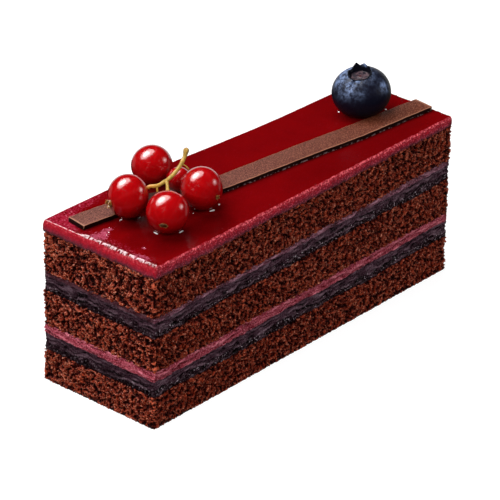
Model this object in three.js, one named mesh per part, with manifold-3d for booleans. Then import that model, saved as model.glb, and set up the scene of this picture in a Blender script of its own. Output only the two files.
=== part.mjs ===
// A cut bar of layered chocolate cake under a berry glaze, topped with a flat chocolate strip,
// five red currants on their stalk and one blueberry. Millimetres, +Z up.
// The origin lies under the middle of the bar, on the surface it rests on. +X runs along the bar,
// away from its wide end, and +Y runs across it, towards the long side that was cut at an angle.
import * as THREE from 'three';
import { mergeVertices } from 'three/addons/utils/BufferGeometryUtils.js';
import Module from 'manifold-3d';

// ---- Driving dimensions (mm) ----

// The bar keeps its width over the first stretch, narrows quickly, then tapers to the far end.
const BAR = { length: 106.9, wideEnd: 34.6, narrowEnd: 29, quickTaper: [0.16, 0.75], slowTaperPower: 1.5 };

// Where one layer ends and the next begins: height at the wide end and at the narrow end, how far
// the boundary ripples up and down, and where its ripples start. The layers climb a little.
const LEVELS = {
  table: { wide: 0, narrow: 0, ripple: 0, phase: 0 },
  bottomSponge: { wide: 8.1, narrow: 9.1, ripple: 0.16, phase: 0.4 },
  lowerFilling: { wide: 12.2, narrow: 13.4, ripple: 0.12, phase: 1.9 },
  pinkCream: { wide: 14.7, narrow: 15.6, ripple: 0.14, phase: 3.1 },
  middleSponge: { wide: 23.8, narrow: 25.1, ripple: 0.18, phase: 4.4 },
  upperFilling: { wide: 27.7, narrow: 28.8, ripple: 0.12, phase: 5.2 },
  mauveFilm: { wide: 28.6, narrow: 30.1, ripple: 0.1, phase: 0.9 },
  topSponge: { wide: 39.0, narrow: 39.5, ripple: 0.12, phase: 2.6 },
  glaze: { wide: 42, narrow: 42, ripple: 0, phase: 0 },
};
const GLAZE_EDGE_RADIUS = 0.7;
// How far the cut face stands back at a boundary, and halfway up a soft filling.
const BOUNDARY_INSET = 0.12;
const FILLING_INSET = 0.3;

// The strip lies across the glaze at a slant and bends sideways under the currants. Each row is a
// point of its middle line and its width there.
const STRIP = {
  route: [
    [-50.77, 9.47, 5.6],
    [-46, 8.8, 5.6],
    [-40.5, 7.95, 5.6],
    [-36, 6.75, 5.6],
    [-31.5, 4.95, 5.65],
    [-26.5, 2.55, 5.75],
    [-21.5, 0.45, 5.8],
    [-16.5, -0.95, 5.85],
    [-10.8, -1.87, 5.9],
    [1.8, -3.4, 6],
    [14.6, -4.95, 6.15],
    [27.2, -6.75, 6.2],
    [33.9, -7.5, 6.05],
    [43.9, -8.5, 5.6],
    [52.05, -9.5, 5],
  ],
  thickness: 1.3,
  edge: 0.2,
};

// Each currant: the middle of the berry, its radius, how much taller than wide it is, and the way
// its dried flower end points.
const CURRANTS = [
  { middle: [-40.14, 2.96, 48.1], radius: 4.75, stretch: 1.09, flowerEnd: [-0.95, 0.28, -0.11] },
  { middle: [-38.51, -7.47, 46.98], radius: 4.95, stretch: 1, flowerEnd: [-0.84, -0.51, -0.2] },
  { middle: [-24.75, -5.55, 47.22], radius: 4.85, stretch: 1.07, flowerEnd: [0.01, -0.99, -0.1] },
  { middle: [-23.16, 11.39, 46.83], radius: 4.8, stretch: 1, flowerEnd: [0.7, 0.7, -0.1] },
  { middle: [-23.6, 2.5, 46.3], radius: 2.95, stretch: 1, flowerEnd: [1, 0, 0.1] },
];
const FLOWER_END = { radius: 0.55, height: 0.5, collar: 0.12 };

// The stalk climbs from the first currant to its knobbed tip. Two thin side stems reach for the
// second and third currants, and a short stub is left where a berry came off.
const STALK_ROUTE = [
  [-36.15, 0.05, 50.15],
  [-35, -1, 50.2],
  [-33, -1.2, 50.4],
  [-31, -1.2, 50.7],
  [-29.1, -1.15, 51.4],
  [-27.7, -1.25, 52.4],
  [-26.7, -1.2, 53.3],
  [-25.6, -1, 54.3],
  [-24.6, -0.7, 55.6],
];
const STALK = { startRadius: 0.4, endRadius: 0.5, knobRadius: 0.7 };
const SIDE_STEMS = [
  { route: [[-32.2, -1.4, 50.45], [-33.6, -2.9, 50.2], [-35, -4.3, 49.95]], radius: 0.36 },
  { route: [[-27, -1.2, 53], [-26.4, -1.9, 52.5], [-25.85, -2.5, 51.6]], radius: 0.17 },
  { route: [[-35.1, -1, 50.2], [-35.3, -1.3, 49.6], [-35.35, -1.45, 49]], radius: 0.22 },
];

// The blueberry is wider than it is tall. Its crown is a five-lobed rim around a shallow cup.
const BLUEBERRY = { middle: [38.95, -0.4, 47.98], radius: 7.25, halfHeight: 5.95, lean: [-0.07, -0.06, 1] };
const CROWN = { lobes: 5, rimRadius: 2.75, floorRadius: 1.9, rimRise: 0.25, lobeRise: 0.6, cupDepth: 0.9 };

// How finely each kind of shape is divided.
const CELLS_ALONG = 20;
const CELLS_ACROSS = 4;
const CURRANT_SIDES = 18;
const CURRANT_RINGS = 10;
const BLUEBERRY_SIDES = 30;
const BLUEBERRY_RINGS = 11;
const STALK_SIDES = 8;
const STALK_STEPS = 22;
const SIDE_STEM_STEPS = 4;

const UP = new THREE.Vector3(0, 1, 0);
const FULL_TURN = Math.PI * 2;

// ---- The bar's plan and its level surfaces ----

/** Width of the bar at a share of its length, from 0 at the wide end to 1 at the narrow end. */
function barWidth(along) {
  const quick = 1 - THREE.MathUtils.smoothstep(along, ...BAR.quickTaper);
  const slow = 1 - along ** BAR.slowTaperPower;
  return BAR.narrowEnd + (BAR.wideEnd - BAR.narrowEnd) * 0.5 * (quick + slow);
}

/** Height of a level at a share of the length and of the width, ripples included. */
function levelHeight(level, along, across) {
  const slope = THREE.MathUtils.lerp(level.wide, level.narrow, along);
  const longRipple = Math.sin(FULL_TURN * 2.3 * along + level.phase);
  const crossRipple = Math.sin(FULL_TURN * (3.7 * along + 1.1 * across) + level.phase * 2);
  return slope + level.ripple * (longRipple + 0.5 * crossRipple);
}

/** A grid of points over the plan, drawn in by an inset, at a height given by a function. */
function planGrid(inset, height) {
  const points = [];
  for (let i = 0; i <= CELLS_ALONG; i += 1) {
    for (let j = 0; j <= CELLS_ACROSS; j += 1) {
      const along = i / CELLS_ALONG;
      const across = j / CELLS_ACROSS;
      const x = inset + along * (BAR.length - 2 * inset) - BAR.length / 2;
      const y = inset + across * (barWidth(along) - 2 * inset) - BAR.wideEnd / 2;
      points.push([x, y, height(along, across)]);
    }
  }
  return points;
}

/** Indices of a plan grid's outer points, counter-clockwise seen from above. */
function outlineIndices() {
  const at = (i, j) => i * (CELLS_ACROSS + 1) + j;
  const loop = [];
  for (let i = 0; i < CELLS_ALONG; i += 1) loop.push(at(i, 0));
  for (let j = 0; j < CELLS_ACROSS; j += 1) loop.push(at(CELLS_ALONG, j));
  for (let i = CELLS_ALONG; i > 0; i -= 1) loop.push(at(i, CELLS_ACROSS));
  for (let j = CELLS_ACROSS; j > 0; j -= 1) loop.push(at(0, j));
  return loop;
}

/** A closed block between two plan grids, its sides passing through any grids in between. */
function blockGeometry(grids) {
  const outline = outlineIndices();
  const bottom = grids[0];
  const top = grids[grids.length - 1];
  const points = [...bottom];
  const triangles = [];
  let loop = outline;
  for (const grid of grids.slice(1, -1)) {
    const next = outline.map((index) => points.push(grid[index]) - 1);
    addWall(triangles, loop, next);
    loop = next;
  }
  const topStart = points.length;
  points.push(...top);
  addWall(triangles, loop, outline.map((index) => index + topStart));
  for (let i = 0; i < CELLS_ALONG; i += 1) {
    for (let j = 0; j < CELLS_ACROSS; j += 1) {
      const a = i * (CELLS_ACROSS + 1) + j;
      const b = a + CELLS_ACROSS + 1;
      triangles.push([a, a + 1, b + 1], [a, b + 1, b]);
      const [c, d] = [a + topStart, b + topStart];
      triangles.push([c, d + 1, c + 1], [c, d, d + 1]);
    }
  }
  return meshGeometry(points, triangles);
}

/** Joins two closed loops of point indices, the second above or beyond the first. */
function addWall(triangles, lower, upper) {
  for (let i = 0; i < lower.length; i += 1) {
    const next = (i + 1) % lower.length;
    triangles.push([lower[i], lower[next], upper[next]], [lower[i], upper[next], upper[i]]);
  }
}

/** A BufferGeometry from a list of points and a list of triangles. */
function meshGeometry(points, triangles) {
  const geometry = new THREE.BufferGeometry();
  geometry.setAttribute('position', new THREE.Float32BufferAttribute(points.flat(), 3));
  geometry.setIndex(triangles.flat());
  geometry.computeVertexNormals();
  return geometry;
}

// ---- Layers ----

/** A layer from one level to the next, its cut face drawn in halfway up by the given inset. */
function layerGeometry(lower, upper, middleInset) {
  const lowerInset = lower === LEVELS.table ? 0 : BOUNDARY_INSET;
  const halfway = (along, across) =>
    0.5 * (levelHeight(lower, along, across) + levelHeight(upper, along, across));
  return blockGeometry([
    planGrid(lowerInset, (along, across) => levelHeight(lower, along, across)),
    planGrid(middleInset, halfway),
    planGrid(BOUNDARY_INSET, (along, across) => levelHeight(upper, along, across)),
  ]);
}

/** The glaze, with a soft edge all round its top. */
function glazeGeometry() {
  const top = LEVELS.glaze.wide;
  return blockGeometry([
    planGrid(BOUNDARY_INSET, (along, across) => levelHeight(LEVELS.topSponge, along, across)),
    planGrid(0, () => top - GLAZE_EDGE_RADIUS),
    planGrid(GLAZE_EDGE_RADIUS * 0.3, () => top - GLAZE_EDGE_RADIUS * 0.3),
    planGrid(GLAZE_EDGE_RADIUS, () => top),
  ]);
}

// ---- Chocolate strip ----

/** The strip: a long plan with square ends, softened along its edges, lying on the glaze. */
function stripGeometry() {
  const last = STRIP.route.length - 1;
  const middles = STRIP.route.map(([x, y]) => new THREE.Vector2(x, y));
  const side = (sign) =>
    STRIP.route.map(([, , width], i) => {
      const way = middles[Math.min(i + 1, last)].clone().sub(middles[Math.max(i - 1, 0)]).normalize();
      const across = new THREE.Vector2(-way.y, way.x);
      return middles[i].clone().addScaledVector(across, sign * (width / 2 - STRIP.edge));
    });
  const plan = new THREE.Shape([...side(-1), ...side(1).reverse()]);
  const geometry = new THREE.ExtrudeGeometry(plan, {
    depth: STRIP.thickness - 2 * STRIP.edge,
    bevelEnabled: true,
    bevelThickness: STRIP.edge,
    bevelSize: STRIP.edge,
    bevelSegments: 2,
  });
  return geometry.translate(0, 0, STRIP.edge);
}

// ---- Berries ----

/** A currant around its own Y axis: a ball with a small dried flower end at its +Y pole. */
function currantGeometry(radius) {
  const flowerAngle = Math.asin(FLOWER_END.radius / radius);
  const profile = [];
  for (let i = 0; i <= CURRANT_RINGS; i += 1) {
    const angle = THREE.MathUtils.lerp(Math.PI, flowerAngle, i / CURRANT_RINGS);
    const distance = i === 0 ? 0 : radius * Math.sin(angle);
    profile.push(new THREE.Vector2(distance, radius * Math.cos(angle)));
  }
  const brim = radius + FLOWER_END.height;
  profile.push(new THREE.Vector2(FLOWER_END.radius - FLOWER_END.collar, brim));
  profile.push(new THREE.Vector2(0, brim - FLOWER_END.collar));
  return new THREE.LatheGeometry(profile, CURRANT_SIDES);
}

/** The blueberry around its own Z axis, from its bottom pole up to the crown's cup. */
function blueberryGeometry() {
  const { radius, halfHeight } = BLUEBERRY;
  const shoulder = Math.acos(CROWN.rimRadius / radius);
  const rimHeight = halfHeight * Math.sin(shoulder);
  const rings = [];
  for (let i = 1; i <= BLUEBERRY_RINGS; i += 1) {
    const angle = THREE.MathUtils.lerp(-Math.PI / 2, shoulder, i / BLUEBERRY_RINGS);
    rings.push({ radius: radius * Math.cos(angle), height: halfHeight * Math.sin(angle), lobe: 0 });
  }
  const rim = rimHeight + CROWN.rimRise;
  rings.push({ radius: CROWN.rimRadius, height: rim, lobe: CROWN.lobeRise });
  rings.push({ radius: CROWN.rimRadius - 0.35, height: rim - 0.05, lobe: CROWN.lobeRise });
  rings.push({ radius: CROWN.floorRadius, height: rimHeight - CROWN.cupDepth, lobe: 0 });
  const points = [[0, 0, -halfHeight]];
  const triangles = [];
  let lower = null;
  for (const ring of rings) {
    const loop = [];
    for (let side = 0; side < BLUEBERRY_SIDES; side += 1) {
      const turn = (FULL_TURN * side) / BLUEBERRY_SIDES;
      const lobe = ring.lobe * (0.5 + 0.5 * Math.cos(CROWN.lobes * turn));
      const height = ring.height + lobe;
      loop.push(points.push([ring.radius * Math.cos(turn), ring.radius * Math.sin(turn), height]) - 1);
    }
    if (lower) addWall(triangles, lower, loop);
    else loop.forEach((index, i) => triangles.push([0, loop[(i + 1) % loop.length], index]));
    lower = loop;
  }
  const cup = points.push([0, 0, rimHeight - CROWN.cupDepth * 0.8]) - 1;
  lower.forEach((index, i) => triangles.push([index, lower[(i + 1) % lower.length], cup]));
  return meshGeometry(points, triangles);
}

// ---- Currant stalk ----

/** A closed round stem along a route, its radius going from one end's to the other's. */
function stemGeometry(route, startRadius, endRadius, steps) {
  const curve = new THREE.CatmullRomCurve3(route.map((point) => new THREE.Vector3(...point)));
  const frames = curve.computeFrenetFrames(steps, false);
  const points = [curve.getPointAt(0).toArray()];
  const triangles = [];
  let lower = null;
  for (let step = 0; step <= steps; step += 1) {
    const middle = curve.getPointAt(step / steps);
    const radius = THREE.MathUtils.lerp(startRadius, endRadius, step / steps);
    const loop = [];
    for (let side = 0; side < STALK_SIDES; side += 1) {
      const turn = (FULL_TURN * side) / STALK_SIDES;
      const point = middle.clone();
      point.addScaledVector(frames.normals[step], radius * Math.cos(turn));
      point.addScaledVector(frames.binormals[step], radius * Math.sin(turn));
      loop.push(points.push(point.toArray()) - 1);
    }
    if (lower) addWall(triangles, lower, loop);
    else loop.forEach((index, i) => triangles.push([0, loop[(i + 1) % loop.length], index]));
    lower = loop;
  }
  const tip = points.push(curve.getPointAt(1).toArray()) - 1;
  lower.forEach((index, i) => triangles.push([index, lower[(i + 1) % lower.length], tip]));
  return meshGeometry(points, triangles);
}

const wasm = await Module();
wasm.setup();

/** A closed geometry as a solid that can be joined to others. */
function toSolid(geometry) {
  const bare = geometry.clone();
  bare.deleteAttribute('normal');
  bare.deleteAttribute('uv');
  const merged = mergeVertices(bare);
  const vertProperties = new Float32Array(merged.getAttribute('position').array);
  const triVerts = new Uint32Array(merged.getIndex().array);
  return new wasm.Manifold(new wasm.Mesh({ numProp: 3, vertProperties, triVerts }));
}

/** The stalk, its knobbed tip and its side stems joined into one body. */
function stalkGeometry() {
  let stalk = toSolid(stemGeometry(STALK_ROUTE, STALK.startRadius, STALK.endRadius, STALK_STEPS));
  const tip = STALK_ROUTE[STALK_ROUTE.length - 1];
  const knob = new THREE.SphereGeometry(STALK.knobRadius, STALK_SIDES, STALK_SIDES / 2);
  stalk = stalk.add(toSolid(knob.translate(...tip)));
  for (const { route, radius } of SIDE_STEMS) {
    stalk = stalk.add(toSolid(stemGeometry(route, radius, radius, SIDE_STEM_STEPS)));
  }
  const { vertProperties, triVerts } = stalk.getMesh();
  const geometry = new THREE.BufferGeometry();
  geometry.setAttribute('position', new THREE.BufferAttribute(vertProperties, 3));
  geometry.setIndex(new THREE.BufferAttribute(triVerts, 1));
  geometry.computeVertexNormals();
  return geometry;
}

// ---- Materials ----

/** A plain surface of one colour. */
function surface(color, roughness) {
  return new THREE.MeshStandardMaterial({ color, roughness, metalness: 0 });
}

const SPONGE = surface(0x4a1d15, 0.9);
const FILLING = surface(0x2c1a22, 0.5);
const PINK_CREAM = surface(0x7d2f3c, 0.6);
const MAUVE_FILM = surface(0x532f39, 0.6);
const GLAZE = surface(0x6b0507, 0.12);
const CHOCOLATE = surface(0x5a3028, 0.4);
const CURRANT = surface(0x8f1418, 0.15);
const STALK_SKIN = surface(0x8a7327, 0.5);
const BLUEBERRY_SKIN = surface(0x1d2233, 0.6);

// ---- The cake ----

const cake = new THREE.Group();

/** Adds one named sub-part to the cake and returns it. */
function add(name, geometry, material) {
  const mesh = new THREE.Mesh(geometry, material);
  mesh.name = name;
  cake.add(mesh);
  return mesh;
}

const L = LEVELS;
add('sponge_bottom', layerGeometry(L.table, L.bottomSponge, 0), SPONGE);
add('filling_lower', layerGeometry(L.bottomSponge, L.lowerFilling, FILLING_INSET), FILLING);
add('cream_pink', layerGeometry(L.lowerFilling, L.pinkCream, BOUNDARY_INSET), PINK_CREAM);
add('sponge_middle', layerGeometry(L.pinkCream, L.middleSponge, 0), SPONGE);
add('filling_upper', layerGeometry(L.middleSponge, L.upperFilling, FILLING_INSET), FILLING);
add('film_mauve', layerGeometry(L.upperFilling, L.mauveFilm, BOUNDARY_INSET), MAUVE_FILM);
add('sponge_top', layerGeometry(L.mauveFilm, L.topSponge, 0), SPONGE);
add('glaze', glazeGeometry(), GLAZE);

const strip = add('chocolate_strip', stripGeometry(), CHOCOLATE);
strip.position.z = LEVELS.glaze.wide;

CURRANTS.forEach(({ middle, radius, stretch, flowerEnd }, index) => {
  const pole = new THREE.Vector3(...flowerEnd).normalize();
  const turn = new THREE.Quaternion().setFromUnitVectors(UP, pole);
  const berry = currantGeometry(radius).applyQuaternion(turn).scale(1, 1, stretch);
  const currant = add(`currant_${index + 1}`, berry, CURRANT);
  currant.position.set(...middle);
});

add('currant_stalk', stalkGeometry(), STALK_SKIN);

const blueberry = add('blueberry', blueberryGeometry(), BLUEBERRY_SKIN);
blueberry.position.set(...BLUEBERRY.middle);
const lean = new THREE.Vector3(...BLUEBERRY.lean).normalize();
blueberry.quaternion.setFromUnitVectors(new THREE.Vector3(0, 0, 1), lean);

export default cake;
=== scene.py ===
"""Looks of a cut bar of layered chocolate cake under a red berry glaze.

Sponge, fillings and glaze are dense skins over the plan of the bar. The berries, the stalk and
the chocolate strip are modelled pieces. All lengths in the classes are millimetres; meshes are
written in metres.
"""
import logging
import math
from dataclasses import dataclass
from enum import Enum

import bmesh
import bpy
import numpy as np
from mathutils import Matrix, Vector


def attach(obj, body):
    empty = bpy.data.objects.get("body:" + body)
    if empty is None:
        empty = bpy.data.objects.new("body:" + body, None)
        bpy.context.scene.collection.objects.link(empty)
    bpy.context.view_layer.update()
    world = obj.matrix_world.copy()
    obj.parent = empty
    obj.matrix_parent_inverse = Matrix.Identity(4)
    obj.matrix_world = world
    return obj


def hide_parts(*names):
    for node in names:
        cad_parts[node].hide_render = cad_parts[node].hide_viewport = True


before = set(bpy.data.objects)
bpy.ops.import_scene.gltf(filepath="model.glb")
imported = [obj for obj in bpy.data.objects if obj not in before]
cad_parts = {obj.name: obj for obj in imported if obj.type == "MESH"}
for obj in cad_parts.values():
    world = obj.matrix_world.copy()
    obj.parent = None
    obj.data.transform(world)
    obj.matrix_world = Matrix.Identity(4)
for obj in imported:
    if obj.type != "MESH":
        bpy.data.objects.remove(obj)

LOG = logging.getLogger("cake")
MM = 0.001
BODY = "root"
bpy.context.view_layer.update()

Colour = tuple[float, float, float]
Place = tuple[float, float, float]
Span = tuple[float, ...]
Piece = bpy.types.Object
Tree = bpy.types.NodeTree
Socket = bpy.types.NodeSocket
Material = bpy.types.Material
Array = np.ndarray
Value = object


# ---- Node trees ----


class Sheet:
    """A node tree being drawn up, with short calls for the nodes that it needs."""

    def __init__(self, tree: Tree) -> None:
        """Takes the tree to draw in."""
        self.tree = tree

    def node(self, kind: str, inputs: dict | None = None, **settings: Value) -> bpy.types.Node:
        """Adds a node.

        Args:
            kind: the node's type name.
            inputs: values or sockets by input name or index.
            settings: the node's own properties.

        Returns:
            The new node.
        """
        made = self.tree.nodes.new(kind)
        for name, value in settings.items():
            setattr(made, name, value)
        for key, value in (inputs or {}).items():
            self.feed(made.inputs[key], value)
        return made

    def feed(self, socket: Socket, value: Value) -> None:
        """Links a socket to an input, or sets the input's own value.

        Args:
            socket: the input.
            value: a socket, a number, a colour or a vector.
        """
        if isinstance(value, Socket):
            self.tree.links.new(value, socket)
        elif isinstance(value, tuple) and len(value) == 3 and socket.type == "RGBA":
            socket.default_value = (*value, 1)
        else:
            socket.default_value = value

    def math(self, operation: str, *values: Value, clamp: bool = False) -> Socket:
        """Adds a math node."""
        inputs = dict(enumerate(values))
        return self.node("ShaderNodeMath", inputs, operation=operation, use_clamp=clamp).outputs[0]

    def times(self, first: Value, second: Value) -> Socket:
        """Multiplies two numbers or sockets."""
        return self.math("MULTIPLY", first, second)

    def plus(self, first: Value, second: Value) -> Socket:
        """Adds two numbers or sockets."""
        return self.math("ADD", first, second)

    def centred(self, value: Value) -> Socket:
        """Shifts a number between 0 and 1 so that it swings about 0."""
        return self.math("SUBTRACT", value, 0.5)

    def vector(self, operation: str, *values: Value) -> Socket:
        """Adds a vector math node; SCALE takes its factor second.

        Args:
            operation: the operation's name.
            values: vectors or sockets.

        Returns:
            The result's socket.
        """
        if operation == "SCALE":
            inputs = {0: values[0], "Scale": values[1]}
        else:
            inputs = dict(enumerate(values))
        return self.node("ShaderNodeVectorMath", inputs, operation=operation).outputs[0]

    def stored(self, name: str, data_type: str = "FLOAT") -> Socket:
        """Reads what is stored on the points of the piece.

        Args:
            name: the attribute's name.
            data_type: its type, where the tree is a geometry tree.

        Returns:
            The value's socket.
        """
        if self.tree.bl_idname == "ShaderNodeTree":
            return self.node("ShaderNodeAttribute", attribute_name=name).outputs["Fac"]
        made = self.node("GeometryNodeInputNamedAttribute", {"Name": name}, data_type=data_type)
        return made.outputs[0]

    def position(self) -> Socket:
        """Reads where a point of a geometry tree is, in millimetres."""
        return self.vector("SCALE", self.node("GeometryNodeInputPosition").outputs[0], 1 / MM)

    def ease(self, value: Value, low: Value, high: Value, start: Value = 0.0,
             end: Value = 1.0) -> Socket:
        """Maps a value smoothly from one range to another."""
        inputs = {"Value": value, "From Min": low, "From Max": high, "To Min": start, "To Max": end}
        return self.node("ShaderNodeMapRange", inputs, interpolation_type="SMOOTHSTEP").outputs[0]

    def mix(self, factor: Value, first: Value, second: Value) -> Socket:
        """Mixes two colours."""
        inputs = {0: factor, 6: first, 7: second}
        return self.node("ShaderNodeMix", inputs, data_type="RGBA").outputs[2]

    def noise(self, place: Value, scale: Value, detail: float = 2.0, roughness: float = 0.5) -> Socket:
        """Adds a 3-D noise texture."""
        inputs = {"Vector": place, "Scale": scale, "Detail": detail, "Roughness": roughness}
        return self.node("ShaderNodeTexNoise", inputs).outputs[0]


class Kind(Enum):
    """The kinds of input that the trees here take."""

    GEOMETRY = "NodeSocketGeometry"
    NUMBER = "NodeSocketFloat"
    COUNT = "NodeSocketInt"
    VECTOR = "NodeSocketVector"
    MATERIAL = "NodeSocketMaterial"


def new_tree(name: str, kind: str, takes: dict[str, Kind], gives: dict[str, Kind]) -> tuple:
    """Starts a node group with named inputs and outputs.

    Args:
        name: the group's name.
        kind: GeometryNodeTree or ShaderNodeTree.
        takes: kinds of input by name.
        gives: kinds of output by name.

    Returns:
        The sheet, the sockets that hold its inputs and the sockets that take its outputs.
    """
    tree = bpy.data.node_groups.new(name, kind)
    for label, socket in takes.items():
        tree.interface.new_socket(label, in_out="INPUT", socket_type=socket.value)
    for label, socket in gives.items():
        tree.interface.new_socket(label, in_out="OUTPUT", socket_type=socket.value)
    sheet = Sheet(tree)
    return sheet, sheet.node("NodeGroupInput").outputs, sheet.node("NodeGroupOutput").inputs


def shape_tree(name: str, takes: dict[str, Kind]) -> tuple:
    """Starts a geometry tree that also takes a geometry and a finish, and gives a geometry."""
    takes = {"Geometry": Kind.GEOMETRY, **takes, "Finish": Kind.MATERIAL}
    return new_tree(name, "GeometryNodeTree", takes, {"Geometry": Kind.GEOMETRY})


def grow(carrier: Piece, tree: Tree, values: dict[str, Value]) -> bpy.types.Mesh:
    """Runs a geometry tree on an object and gives the mesh that comes out.

    Args:
        carrier: the mesh or curve object to start from.
        tree: the geometry node group.
        values: the tree's inputs by name.

    Returns:
        The new mesh, which the object doesn't hold yet.
    """
    modifier = carrier.modifiers.new(tree.name, "NODES")
    modifier.node_group = tree
    for item in tree.interface.items_tree:
        if item.in_out == "INPUT" and item.name in values:
            modifier[item.identifier] = values[item.name]
    bpy.context.view_layer.update()
    graph = bpy.context.evaluated_depsgraph_get()
    return bpy.data.meshes.new_from_object(
        carrier.evaluated_get(graph), preserve_all_data_layers=True, depsgraph=graph)


def run_tree(piece: Piece, tree: Tree, values: dict[str, Value]) -> None:
    """Runs a geometry tree on a piece and keeps the result as its plain mesh.

    Args:
        piece: the object to change.
        tree: the geometry node group.
        values: the tree's inputs by name.
    """
    mesh = grow(piece, tree, values)
    piece.modifiers.clear()
    piece.data = mesh
    mesh.name = piece.name


def new_piece(name: str, points: Array, faces: list) -> Piece:
    """Makes an object from points in millimetres.

    Args:
        name: the object's name.
        points: one row for each point.
        faces: point indices of each face, counter-clockwise from outside.

    Returns:
        The object, at the origin.
    """
    mesh = bpy.data.meshes.new(name)
    mesh.from_pydata((np.asarray(points) * MM).tolist(), [], faces)
    mesh.polygons.foreach_set("use_smooth", [True] * len(mesh.polygons))
    mesh.update()
    piece = bpy.data.objects.new(name, mesh)
    bpy.context.scene.collection.objects.link(piece)
    return piece


def store(piece: Piece, name: str, values: Array) -> None:
    """Stores a number or a vector for each point of a piece.

    Args:
        piece: the object.
        name: the attribute's name.
        values: one number or one row of three for each point.
    """
    is_vector = values.ndim == 2
    attribute = piece.data.attributes.new(name, "FLOAT_VECTOR" if is_vector else "FLOAT", "POINT")
    attribute.data.foreach_set("vector" if is_vector else "value", values.astype(np.float32).ravel())


def settle(piece: Piece, slot: str, *nodes: str) -> None:
    """Makes a finished piece ride on the body, hides the CAD parts that it stands for and logs its
    triangles.

    Args:
        piece: the object.
        slot: the material slot that its finish comes from; not used.
        nodes: the CAD nodes that it replaces.
    """
    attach(piece, BODY)
    if nodes:
        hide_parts(*nodes)
    piece.data.calc_loop_triangles()
    LOG.info("%s: %d triangles", piece.name, len(piece.data.loop_triangles))


# ---- Shared effects of the finishes ----


def mottle_group() -> Tree:
    """Builds the group that puts soft patches over a surface.

    Returns:
        A shader group that takes Place, Scale and Contrast and gives Mask and Height.
    """
    takes = {"Place": Kind.VECTOR, "Scale": Kind.NUMBER, "Contrast": Kind.NUMBER}
    gives = {"Mask": Kind.NUMBER, "Height": Kind.NUMBER}
    sheet, source, result = new_tree("Mottle", "ShaderNodeTree", takes, gives)
    noise = sheet.noise(source["Place"], source["Scale"], detail=4.0, roughness=0.6)
    spread = sheet.times(sheet.centred(noise), source["Contrast"])
    sheet.feed(result["Mask"], sheet.math("ADD", spread, 0.5, clamp=True))
    sheet.feed(result["Height"], noise)
    return sheet.tree


MOTTLE = mottle_group()
# Walking round the plan, the wide end's face gives way to the front side between these lengths.
END_TO_SIDE = (33.6, 35.6)


def new_material(name: str, roughness: float, **constants: Value) -> tuple:
    """Starts a material on a Principled shader.

    Args:
        name: the material's name.
        roughness: the shader's own roughness.
        constants: the shader's constant values, by input name with _ for a space.

    Returns:
        The material, its sheet, its shader and the coordinates in millimetres.
    """
    material = bpy.data.materials.new(name)
    material.use_nodes = True
    sheet = Sheet(material.node_tree)
    shader = material.node_tree.nodes["Principled BSDF"]
    shader.inputs["Roughness"].default_value = roughness
    for key, value in constants.items():
        shader.inputs[key.replace("_", " ")].default_value = value
    coordinates = sheet.node("ShaderNodeTexCoord").outputs["Object"]
    place = sheet.vector("SCALE", coordinates, 1 / MM)
    return material, sheet, shader, place


def patches(sheet: Sheet, place: Value, scale: float, contrast: float) -> tuple:
    """Places the shared mottle group in a material.

    Args:
        sheet: the material's sheet.
        place: the coordinates' socket.
        scale: patches for each millimetre.
        contrast: how strongly the patches stand out.

    Returns:
        The sockets of the patches' mask and of their height.
    """
    inputs = {"Place": place, "Scale": scale, "Contrast": contrast}
    made = sheet.node("ShaderNodeGroup", inputs, node_tree=MOTTLE)
    return made.outputs["Mask"], made.outputs["Height"]


def dress(sheet: Sheet, shader: bpy.types.Node, tone: Value, rough: Value, height: Value,
          relief: float) -> None:
    """Feeds a shader its colour, its roughness and its unevenness.

    Args:
        sheet: the material's sheet.
        shader: the Principled shader.
        tone: the colour's socket.
        rough: the roughness's socket.
        height: the unevenness's socket, 0 to 1.
        relief: how high 1 stands, in metres.
    """
    sheet.feed(shader.inputs["Base Color"], tone)
    sheet.feed(shader.inputs["Roughness"], rough)
    inputs = {"Height": height, "Distance": relief}
    sheet.feed(shader.inputs["Normal"], sheet.node("ShaderNodeBump", inputs).outputs[0])


# ---- Finishes ----
#
# In every finish the colours come first. broad and fine are scales and contrasts of soft patches.
# A span says between which values a mask eases in, and where it has four numbers, from what to
# what it leads. relief is how high the unevenness stands, in metres.


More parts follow.
